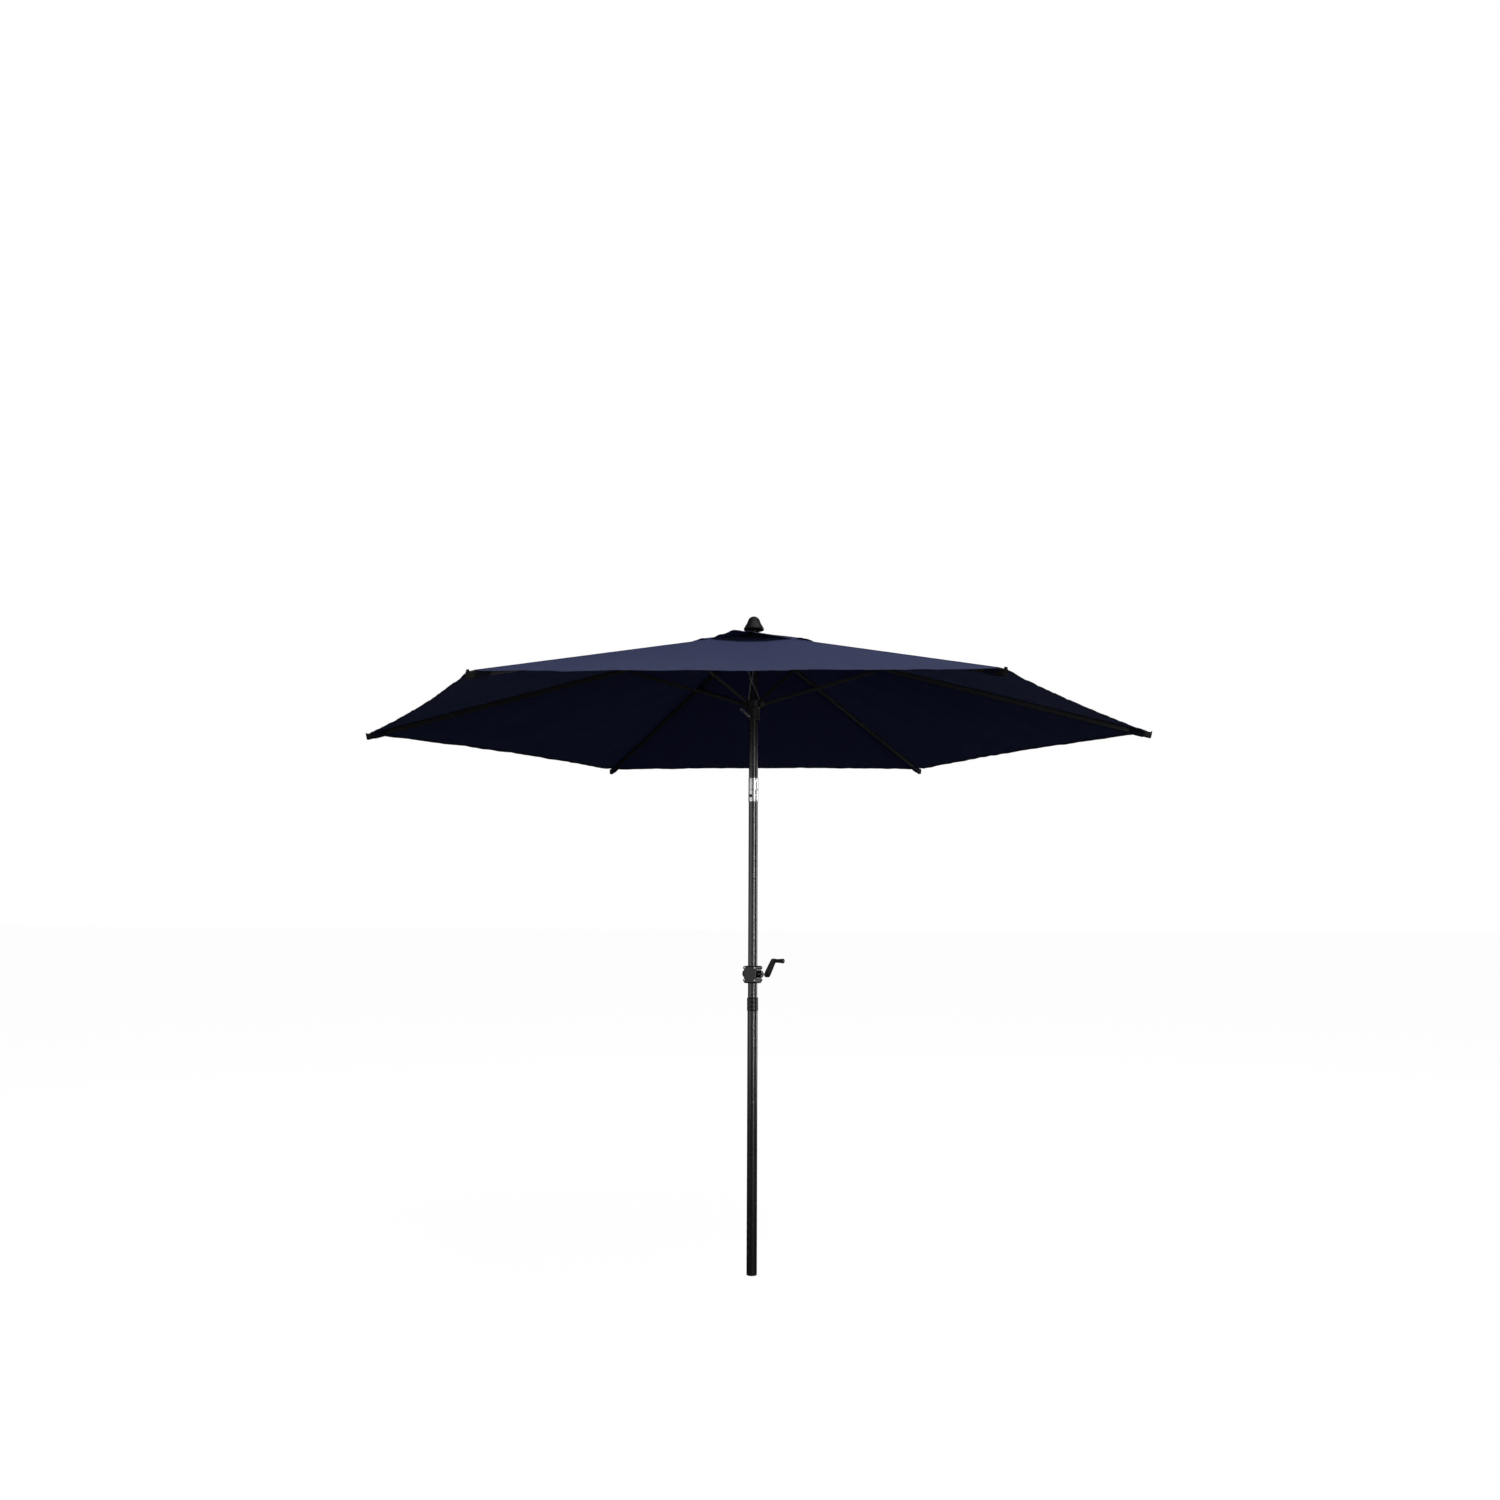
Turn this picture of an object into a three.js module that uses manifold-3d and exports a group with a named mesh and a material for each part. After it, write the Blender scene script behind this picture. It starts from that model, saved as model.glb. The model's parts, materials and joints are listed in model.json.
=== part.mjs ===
// A crank-and-tilt patio umbrella: six folding ribs, a two-piece pole and a runner on a cord.
// Millimetres, +Z up. The origin is the centre of the pole's lower end, on its axis.
import * as THREE from 'three';
import { mergeVertices } from 'three/addons/utils/BufferGeometryUtils.js';
import Module from 'manifold-3d';

const wasm = await Module();
wasm.setup();

// Driving dimensions: overall
const ribCount = 6;
const tipRadius = 1500;                 // pole axis to the outer end of a rib cap
const hubPivotHeight = 2350;            // hinge ring of the ribs above the pole's end
const ribSlope = radians(14.5);         // below the horizontal, umbrella open
const gap = 0.3;                        // between pieces that touch
const hingePlay = 0.5;                  // around a pin that turns
const side = radians(-30);              // azimuth of the crank axle and of the tilt axis

// Poles
const upperPoleRadius = 17.5;           // the mid and the upper pole
const poleWall = 1.2;
const lowerPoleTop = 965;
const poleInsertion = 105;              // how deep the mid pole stands in the lower pole
const footFlange = 3;
const footPlug = 15;
const footWall = 2.5;

// Joint collar and snap button
const collarWall = 1.5;
const collarSkirt = 23;                 // below the lower pole's top
const collarNeck = 26;                  // above it
const collarGroove = 0.6;
const collarGrooveWidth = 4;
const collarGroovePlace = 14;           // from either end of the collar
const collarEdge = 4;                   // height of the softened top edge
const snapDrop = 50;                    // button's centre below the lower pole's top
const snapRadius = 4;
const snapProud = 2.5;
const snapFlange = 2;                   // how much wider the button's foot is
const snapFoot = 3;                     // thickness of that foot
const snapTravelRoom = 2.5;             // foot to the mid pole's wall
const snapLeaf = [0.8, 8, 34];          // thickness, width and length of the spring's leaf

// Crank
const crankHeight = 1077;               // axle above the pole's end
const housingWallAlong = 9.2;           // housing's thickness over the pole, along the axle
const housingWallAcross = 3.2;          // and across it
const housingBelow = 34;                // below the axle
const housingAbove = 30;
const housingCorner = 8;
const bossRadius = 13;
const bossBlindProud = 12;              // axle boss beyond the housing, closed end
const bossOpenProud = 15;
const bossWall = 2.5;
const screwRadius = 2.5;
const screwTipCover = 4;                // material left in front of a screw's tip
const screwBossRadius = 6;
const screwBossProud = 2.5;
const screwHeadRadius = 4.2;
const screwHeadDepth = 3;
const screwClear = 5.3;                 // pole's surface to a screw's axis, along the axle
const screwUp = 23;                     // screws above and below the axle
const axleRadius = 4;
const drumFlangeRoom = 4.3;             // drum's flange to the pole's bore
const drumEndRoom = 1;                  // drum's corner to the pole's bore
const drumLip = 4;                      // flange above the drum
const drumFlangeWall = 1.5;
const armStandOff = 16;                 // open end of the boss to the arm's hub
const armHub = 12;
const armSocketFloor = 3;
const armHubRadius = 10.6;
const armEndRadius = 8;
const armLean = 33;                     // how far the arm leads outwards, along the axle
const crankThrow = 51;                  // axle to grip axis
const armThickness = 13;
const gripLength = 45;
const gripNeck = 7.2;
const gripEnd = 9;
const gripEndLength = 9;
const gripCrown = 3;                    // rounded end of the grip
const gripPinRadius = 3.5;
const gripPinShort = 4;                 // pin's tip to the grip's end

// Tilt joint, all heights from its axis
const tiltBelowHub = 583;
const tiltWall = 1.2;                   // barrel's radius beyond the pole's
const tiltHalfLength = 45;
const spigotLength = 40;
const spigotWebs = 4;                   // solid bottom of each spigot's bore
const skirtDepth = 15;
const skirtWall = 4.7;
const cordBore = 5;
const spigotWall = 3;
const earDepth = 9.4;                   // barrel's surface to an ear's inner face
const earPlay = 0.4;
const cheekWall = 3.7;
const cheekClear = 4.4;                 // cheek's edge to the skirt's bore
const tiltWedge = radians(16);
const tiltRivet = 3;
const buttonRadius = 6;
const buttonDrop = 23;
const buttonProud = 0.4;
const buttonLength = 7.6;
const buttonSpringRadius = 4;
const buttonSpringWall = 1.4;
const buttonPocketDepth = 12.1;

// Hub, pulley and finial
const hubPivotRadius = 45;
const hubRim = 13;                      // hinge ring to the flange's edge, and to the core
const hubFlangeAbove = 11;
const hubFlangeBelow = 9.5;
const hubTop = 24;                      // top of the core above the hinge ring
const hubPlate = 7;
const hubSocketWall = 4.2;
const hubSocketDepth = 22;
const hubSocketFloor = 16;              // pole's top below the hinge ring
const ringWire = 2;
const pulleyRadius = 13;                // at the cord's centre
const pulleyFlange = 14.2;
const pulleyWidth = 7;
const pulleyRim = 1.6;                  // slanted side of the groove
const pulleyPin = 2;
const pulleyPinHalf = 14;
const pulleyUp = 2;                     // pulley's axle above the hinge ring
const postRadius = 5;
const postLength = 38;
const finialLift = 12.3;                // finial's flat underside above the hub's core
const finialRadius = 39;
const finialHeight = 55;

// Ribs, struts and runner
const ribWidth = 12;
const ribHeight = 18;
const ribWall = 1;
const ribChamfer = 2;
const ribStandOff = 3;                  // hub's flange to the rib's tube
const ribPlug = 10;
const lugThickness = 8;
const lugRadius = 7;
const lugClear = 1.5;                   // a lug's round end to the bottom of its slot
const bracketAt = 440;                  // along the rib, hinge to strut pivot
const bracketClear = 2;                 // strut's lug to the rib's underside
const bracketHalf = 7;
const earPlate = 1.8;
const strutWidth = 8;
const strutHeight = 12;
const strutWall = 1;
const strutChamfer = 1.5;
const strutPlug = 8;
const drainRadius = 1.5;
const strutRivet = 2.5;
const runnerPlay = 0.8;                 // around the tilt joint, which the runner slides over
const runnerPivotOut = 14.5;            // strut pivots from the runner's bore
const runnerBelowHub = 254;             // strut pivots on the runner below the hinge ring
const runnerWall = 5.5;
const runnerRim = 8;                    // strut pivots to the flange's edge
const runnerFlangeHalf = 12;
const runnerBelow = 61;
const runnerFootRim = 1.8;
const runnerFootHeight = 8;
const runnerCordSeat = 1;               // cord's axis to the edge of the runner's top rim
const slotPlay = 0.6;                   // each side of a lug in its slot

// Rib caps and fabric
const capLength = 30;
const capWall = 2;
const capEndWall = 4;
const capCorner = 3;
const capLip = 5;
const capLipWall = 3;
const canopyThickness = 2;
const canopyLift = 1.5;                 // fabric above the rib's top
const canopyOpening = 110;              // corner radius of the opening under the vent cap
const scallop = 31;                     // how far a hem curves in at its middle
const scallopSteps = 10;
const ventRadius = 300;
const ventThickness = 2;
const ventDrop = 66;                    // top of the vent cap to its hem
const ventHole = 8;
const ventTuck = 1;                     // vent cap's top below the finial's underside

// Lifting cord
const cordRadius = 2;

// Worked out from the above
const midPoleInner = upperPoleRadius - poleWall;
const lowerPoleInner = upperPoleRadius + gap;
const lowerPoleRadius = lowerPoleInner + poleWall;
const collarRadius = lowerPoleRadius + gap + collarWall;
const snapHeight = lowerPoleTop - snapDrop;
const housingHalfLength = upperPoleRadius + gap + housingWallAlong;
const housingHalfDepth = upperPoleRadius + gap + housingWallAcross;
const screwBossHalfDepth = housingHalfDepth + screwBossProud;
const screwAlong = upperPoleRadius + screwClear;
const bossBlindEnd = housingHalfLength + bossBlindProud;
const bossOpenEnd = housingHalfLength + bossOpenProud;
const armStart = bossOpenEnd + armStandOff;
const armReach = armStart + armLean;
const drumFlange = midPoleInner - drumFlangeRoom;
const drumRadius = drumFlange - drumLip;
const drumHalfLength = Math.sqrt((midPoleInner - drumEndRoom) ** 2 - drumFlange ** 2);
const tiltHeight = hubPivotHeight - tiltBelowHub;
const tiltRadius = upperPoleRadius + tiltWall;
const skirtBore = tiltRadius - skirtWall;
const spigotRadius = midPoleInner - gap;
const spigotBore = spigotRadius - spigotWall;
const earInner = tiltRadius - earDepth;
const cheekOuter = earInner - earPlay;
const cheekInner = cheekOuter - cheekWall;
const cheekRadius = skirtBore - cheekClear;
const earRadius = cheekRadius + earPlay;
const buttonPocketEnd = tiltRadius - buttonPocketDepth;
const hubFlangeRadius = hubPivotRadius + hubRim;
const hubCoreRadius = hubPivotRadius - hubRim;
const finialBase = hubTop + finialLift;
const poleTop = hubPivotHeight - hubSocketFloor;
const ribTubeStart = hubRim + ribStandOff;
const ribLength = (tipRadius - hubPivotRadius) / Math.cos(ribSlope);
const capStart = ribLength - capLength;
const ribEnd = ribLength - capEndWall - gap;
const strutLugRadius = strutHeight / 2;
const bracketDrop = ribHeight / 2 + strutLugRadius + bracketClear;
const strutPivotRadius = hubPivotRadius + bracketAt * Math.cos(ribSlope) - bracketDrop * Math.sin(ribSlope);
const strutPivotHeight = hubPivotHeight - bracketAt * Math.sin(ribSlope) - bracketDrop * Math.cos(ribSlope);
const runnerBore = tiltRadius + runnerPlay;
const runnerPivotRadius = runnerBore + runnerPivotOut;
const runnerPivotHeight = hubPivotHeight - runnerBelowHub;
const runnerFlangeRadius = runnerPivotRadius + runnerRim;
const strutRun = strutPivotRadius - runnerPivotRadius;
const strutRise = strutPivotHeight - runnerPivotHeight;
const strutLength = Math.hypot(strutRun, strutRise);
const strutAngle = Math.atan2(strutRise, strutRun);
const cordOutside = 2 * pulleyRadius;   // from the pole axis

const roundSides = 24;
const smallSides = 12;

const paint = { color: 0x3c3c3f, roughness: 0.45, metalness: 0.6 };
const silver = { color: 0xb4b2b4, roughness: 0.3, metalness: 0.9 };
const plastic = { color: 0x161618, roughness: 0.5, metalness: 0 };
const steel = { color: 0x9a9a9c, roughness: 0.35, metalness: 0.9 };
const navy = { color: 0x232a3f, roughness: 0.9, metalness: 0 };
const cordGrey = { color: 0xb8b8bc, roughness: 0.8, metalness: 0 };

function radians(angle) {
  return THREE.MathUtils.degToRad(angle);
}

// ---- solids from three.js geometry ----

// The signed volume is positive when the faces point out.
function signedVolume(position, triangles) {
  const a = new THREE.Vector3();
  const b = new THREE.Vector3();
  const c = new THREE.Vector3();
  let total = 0;
  for (let i = 0; i < triangles.length; i += 3) {
    a.fromBufferAttribute(position, triangles[i]);
    b.fromBufferAttribute(position, triangles[i + 1]);
    c.fromBufferAttribute(position, triangles[i + 2]);
    total += a.dot(b.cross(c)) / 6;
  }
  return total;
}

// Any closed three.js geometry becomes a solid, whichever way it was wound.
function solid(geometry) {
  const bare = geometry.clone();
  bare.deleteAttribute('normal');
  bare.deleteAttribute('uv');
  const merged = mergeVertices(bare, 1e-4);
  const found = merged.index.array;
  const kept = [];
  for (let i = 0; i < found.length; i += 3) {
    const [a, b, c] = [found[i], found[i + 1], found[i + 2]];
    if (a !== b && b !== c && c !== a) kept.push(a, b, c);
  }
  if (signedVolume(merged.attributes.position, kept) < 0) kept.reverse();
  const mesh = new wasm.Mesh({
    numProp: 3,
    vertProperties: new Float32Array(merged.attributes.position.array),
    triVerts: new Uint32Array(kept),
  });
  return new wasm.Manifold(mesh);
}

function geometryOf(body) {
  const mesh = body.getMesh();
  const geometry = new THREE.BufferGeometry();
  geometry.setAttribute('position', new THREE.BufferAttribute(mesh.vertProperties, 3));
  geometry.setIndex(new THREE.BufferAttribute(mesh.triVerts, 1));
  geometry.computeVertexNormals();
  return geometry;
}

function joined(first, ...others) {
  return others.reduce((all, next) => all.add(next), first);
}

function cut(first, ...others) {
  return others.reduce((all, next) => all.subtract(next), first);
}

function box(x0, x1, y0, y1, z0, z1) {
  const geometry = new THREE.BoxGeometry(x1 - x0, y1 - y0, z1 - z0);
  return solid(geometry.translate((x0 + x1) / 2, (y0 + y1) / 2, (z0 + z1) / 2));
}

// A cylinder along x, y or z from one place on that axis to another.
function rod(axis, radius, from, to, sides = smallSides) {
  const geometry = new THREE.CylinderGeometry(radius, radius, to - from, sides);
  geometry.translate(0, (from + to) / 2, 0);
  if (axis === 'x') geometry.rotateZ(-Math.PI / 2);
  if (axis === 'z') geometry.rotateX(Math.PI / 2);
  return solid(geometry);
}

// A turned solid about z; the profile is a closed list of [radius, height].
function turned(profile, sides = roundSides) {
  const loop = profile.map(([r, z]) => new THREE.Vector2(r, z));
  if (profile[0][0] > 0) loop.push(loop[0].clone());
  return solid(new THREE.LatheGeometry(loop, sides).rotateX(Math.PI / 2));
}

function pipe(outer, inner, from, to, sides = roundSides) {
  return turned([[inner, from], [outer, from], [outer, to], [inner, to]], sides);
}

// A ring of round wire whose straight sides cross the ribs at their hinges.
function hexRing(wireRadius, height) {
  const corner = hubPivotRadius / Math.cos(Math.PI / ribCount);
  const loop = [];
  for (let i = 0; i < 10; i += 1) {
    const turn = (i / 10) * 2 * Math.PI;
    loop.push([corner + wireRadius * Math.cos(turn), height + wireRadius * Math.sin(turn)]);
  }
  return turned(loop, ribCount);
}

// A plate with its outline in the x-z plane and its thickness across y.
function plate(outline, thickness) {
  const settings = { depth: thickness, bevelEnabled: false, curveSegments: 8 };
  const geometry = new THREE.ExtrudeGeometry(outline, settings);
  geometry.rotateX(Math.PI / 2);
  return solid(geometry.translate(0, thickness / 2, 0));
}

// A rectangle with cut corners, extruded along x; its height runs along z.
function bar(width, height, chamfer, from, to) {
  const [h, w] = [height / 2, width / 2];
  const outline = new THREE.Shape([
    [-h + chamfer, -w], [h - chamfer, -w], [h, -w + chamfer], [h, w - chamfer],
    [h - chamfer, w], [-h + chamfer, w], [-h, w - chamfer], [-h, -w + chamfer],
  ].map(([x, y]) => new THREE.Vector2(x, y)));
  const geometry = new THREE.ExtrudeGeometry(outline, { depth: to - from, bevelEnabled: false });
  return solid(geometry.rotateY(Math.PI / 2).translate(from, 0, 0));
}

function hollowBar(width, height, wall, chamfer, from, to) {
  const inside = bar(width - 2 * wall, height - 2 * wall, chamfer, from - 1, to + 1);
  return bar(width, height, chamfer, from, to).subtract(inside);
}

// The outline around two circles, as on a lever.
function leverOutline(x0, y0, r0, x1, y1, r1) {
  const along = Math.atan2(y1 - y0, x1 - x0);
  const lean = Math.acos((r0 - r1) / Math.hypot(x1 - x0, y1 - y0));
  const outline = new THREE.Shape();
  outline.absarc(x0, y0, r0, along + lean, along - lean + 2 * Math.PI, false);
  outline.absarc(x1, y1, r1, along - lean, along + lean, false);
  return outline;
}

const umbrella = new THREE.Group();

function piece(parent, name, body, finish) {
  const mesh = new THREE.Mesh(geometryOf(body), new THREE.MeshStandardMaterial(finish));
  mesh.name = name;
  parent.add(mesh);
  return mesh;
}

function turnedGroup(azimuth, height = 0) {
  const group = new THREE.Group();
  group.rotation.z = azimuth;
  group.position.z = height;
  umbrella.add(group);
  return group;
}

// ---- lower pole, its foot cap, the collar and the snap button ----

function addLowerPole() {
  const pole = pipe(lowerPoleRadius, lowerPoleInner, footFlange + gap, lowerPoleTop);
  const snapHole = rod('y', snapRadius + gap, 0, 2 * lowerPoleRadius).translate([0, 0, snapHeight]);
  piece(umbrella, 'lower_pole', pole.subtract(snapHole), paint);

  const plug = lowerPoleInner - gap;
  piece(umbrella, 'pole_foot_cap', turned([
    [0, 0], [lowerPoleRadius, 0], [lowerPoleRadius, footFlange], [plug, footFlange],
    [plug, footFlange + footPlug], [plug - footWall, footFlange + footPlug],
    [plug - footWall, footFlange + gap], [0, footFlange + gap],
  ]), plastic);

  const [bottom, seat, top] = [lowerPoleTop - collarSkirt, lowerPoleTop + gap, lowerPoleTop + collarNeck];
  const groove = collarRadius - collarGroove;
  const rings = [];
  for (const z of [bottom + collarGroovePlace, top - collarGroovePlace - collarGrooveWidth]) {
    rings.push([collarRadius, z], [groove, z + collarGrooveWidth / 4]);
    rings.push([groove, z + collarGrooveWidth * 0.75], [collarRadius, z + collarGrooveWidth]);
  }
  piece(umbrella, 'joint_collar', turned([
    [collarRadius - collarWall / 2, bottom], [collarRadius, bottom + collarEdge / 2], ...rings,
    [collarRadius, top - collarEdge], [collarRadius - collarWall, top], [upperPoleRadius + gap, top],
    [upperPoleRadius + gap, seat], [lowerPoleRadius + gap, seat], [lowerPoleRadius + gap, bottom],
  ]), plastic);
}

function addSnapButton() {
  const group = turnedGroup(0, snapHeight);
  const foot = midPoleInner - snapTravelRoom;
  const button = joined(
    rod('y', snapRadius, foot - snapFoot, lowerPoleRadius + snapProud),
    rod('y', snapRadius + snapFlange, foot - snapFoot, foot),
  );
  piece(group, 'snap_button', button, steel);
  // A leaf bent to a narrow U: one leg on the far wall, the other ends under the button's foot.
  const [thick, width, reach] = snapLeaf;
  const top = -(snapRadius + snapFlange + gap);
  const near = foot - 1;
  const far = gap + width / 2 - midPoleInner;
  const leaf = joined(
    box(-width / 2, width / 2, near - thick, near, top - reach, top),
    box(-width / 2, width / 2, far, far + thick, top - reach, top + width),
    box(-width / 2, width / 2, far, near, top - reach - thick, top - reach + thick / 2),
  );
  piece(group, 'snap_spring', leaf, steel);
}

// ---- mid pole ----

function addMidPole() {
  const bottom = lowerPoleTop - poleInsertion;
  const pole = pipe(upperPoleRadius, midPoleInner, bottom, tiltHeight - tiltHalfLength - gap);
  const snapHole = rod('y', snapRadius + gap, 0, 2 * lowerPoleRadius).translate([0, 0, snapHeight]);
  const axleHole = rod('x', axleRadius + hingePlay, -2 * upperPoleRadius, 2 * upperPoleRadius)
    .rotate([0, 0, THREE.MathUtils.radToDeg(side)])
    .translate([0, 0, crankHeight]);
  piece(umbrella, 'mid_pole', cut(pole, snapHole, axleHole), paint);
}

// ---- crank: x runs along the axle, y across it ----

function housingBlock() {
  const corner = new THREE.Shape();
  const [l, d, c] = [housingHalfLength, housingHalfDepth, housingCorner];
  corner.absarc(l - c, d - c, c, 0, Math.PI / 2, false);
  corner.absarc(-l + c, d - c, c, Math.PI / 2, Math.PI, false);
  corner.absarc(-l + c, -d + c, c, Math.PI, 1.5 * Math.PI, false);
  corner.absarc(l - c, -d + c, c, 1.5 * Math.PI, 2 * Math.PI, false);
  const settings = { depth: housingAbove + housingBelow, bevelEnabled: false, curveSegments: 4 };
  const block = solid(new THREE.ExtrudeGeometry(corner, settings).translate(0, 0, -housingBelow));
  const boss = rod('x', bossRadius, -bossBlindEnd, bossOpenEnd, 16);
  return joined(block, boss, ...screwPlaces().map(([x, z]) => (
    rod('y', screwBossRadius, -screwBossHalfDepth, screwBossHalfDepth).translate([x, 0, z]))));
}

function screwPlaces() {
  const places = [];
  for (const x of [-screwAlong, screwAlong]) {
    for (const z of [-screwUp, screwUp]) places.push([x, z]);
  }
  return places;
}

function addCrank() {
  const group = turnedGroup(side, crankHeight);
  const poleHole = rod('z', upperPoleRadius + gap, -2 * housingBelow, 2 * housingBelow, roundSides);
  const axleHole = rod('x', axleRadius + hingePlay, bossWall - bossBlindEnd, 2 * bossOpenEnd);
  const holes = [poleHole, axleHole];
  for (const [x, z] of screwPlaces()) {
    const shank = rod('y', screwRadius + gap, -2 * housingHalfDepth, screwBossHalfDepth - screwTipCover);
    const headSeat = screwHeadDepth - screwBossHalfDepth;
    const head = rod('y', screwHeadRadius + gap, -2 * housingHalfDepth, headSeat);
    holes.push(shank.translate([x, 0, z]), head.translate([x, 0, z]));
  }
  const housing = cut(housingBlock(), ...holes);
  const far = 3 * housingHalfLength;
  const frontHalf = box(-far, far, -far, -gap / 2, -far, far);
  const backHalf = box(-far, far, gap / 2, far, -far, far);
  piece(group, 'crank_housing_front', housing.intersect(frontHalf), plastic);
  piece(group, 'crank_housing_back', housing.intersect(backHalf), plastic);
  screwPlaces().forEach(([x, z], index) => {
    const headInner = -screwBossHalfDepth + screwHeadDepth - gap;
    const screw = joined(
      rod('y', screwRadius, headInner, screwBossHalfDepth - screwTipCover - gap),
      rod('y', screwHeadRadius, -screwBossHalfDepth + gap, headInner),
    );
    piece(group, `housing_screw_${index + 1}`, screw.translate([x, 0, z]), steel);
  });

  const armEnd = armStart + armHub;
  const axle = rod('x', axleRadius, bossWall + gap - bossBlindEnd, armEnd - armSocketFloor - gap);
  piece(group, 'crank_axle', axle, steel);
  const [l, w] = [drumHalfLength, drumFlangeWall];
  const spool = turned([
    [axleRadius + gap, -l], [drumFlange, -l], [drumFlange, w - l], [drumRadius, w - l],
    [drumRadius, l - w], [drumFlange, l - w], [drumFlange, l], [axleRadius + gap, l],
  ], 16).rotate([0, 90, 0]);
  piece(group, 'crank_drum', spool, plastic);
  const woundHalf = l - w - gap;
  const wound = pipe(drumFlange - 2 * gap, drumRadius + gap, -woundHalf, woundHalf, 16);
  piece(group, 'lift_cord_wound', wound.rotate([0, 90, 0]), cordGrey);

  const middle = armStart + armHub / 2;
  const arm = joined(
    plate(leverOutline(middle, 0, armHubRadius, armReach, crankThrow, armEndRadius), armThickness),
    rod('x', armHubRadius, armStart, armEnd, 16),
    rod('x', gripPinRadius, armReach, armReach + gripLength - gripPinShort).translate([0, 0, crankThrow]),
  );
  const beyond = 3 * armHubRadius;
  const flatBack = box(armStart - beyond, armStart, -beyond, beyond, -beyond, beyond);
  const socket = rod('x', axleRadius + gap, armStart - beyond, armEnd - armSocketFloor);
  piece(group, 'crank_arm', cut(arm, flatBack, socket), plastic);

  const [start, end] = [armReach + armEndRadius + gap, armReach + gripLength];
  const bore = gripPinRadius + hingePlay;
  const grip = turned(closedOnAxis([
    [bore, start], [gripNeck, start], [gripNeck + gap, start + gripNeck],
    [gripEnd, end - gripEndLength], [gripEnd, end - gripCrown], [gripEnd - gripCrown, end], [0, end],
    [0, end - gripPinShort + gap], [bore, end - gripPinShort + gap],
  ]), 16);
  piece(group, 'crank_knob', grip.rotate([0, 90, 0]).translate([0, 0, crankThrow]), plastic);
}

// ---- tilt joint: x runs along its axis; the umbrella leans towards +y ----

// The part of the barrel that must go so that the halves can lean together.
function tiltRelief(up) {
  const far = 2 * tiltRadius;
  const rise = far * Math.tan(tiltWedge);
  const points = up
    ? [[0, 0], [far, rise], [far, -far], [0, -far]]
    : [[0, 0], [far, -rise], [far, far], [0, far]];
  const outline = new THREE.Shape(points.map(([y, z]) => new THREE.Vector2(y, z)));
  const geometry = new THREE.ExtrudeGeometry(outline, { depth: 2 * far, bevelEnabled: false });
  // the outline's x and y become y and z, and its depth runs along x
  geometry.rotateX(Math.PI / 2);
  geometry.rotateZ(Math.PI / 2);
  return solid(geometry.translate(-far, 0, 0));
}

function bothSides(make) {
  return joined(make(1), make(-1));
}

// A rod along x from one distance to a greater one, on the side that s says.
function mirroredRod(radius, s, from, to, sides = roundSides) {
  return rod('x', radius, Math.min(s * from, s * to), Math.max(s * from, s * to), sides);
}

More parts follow.
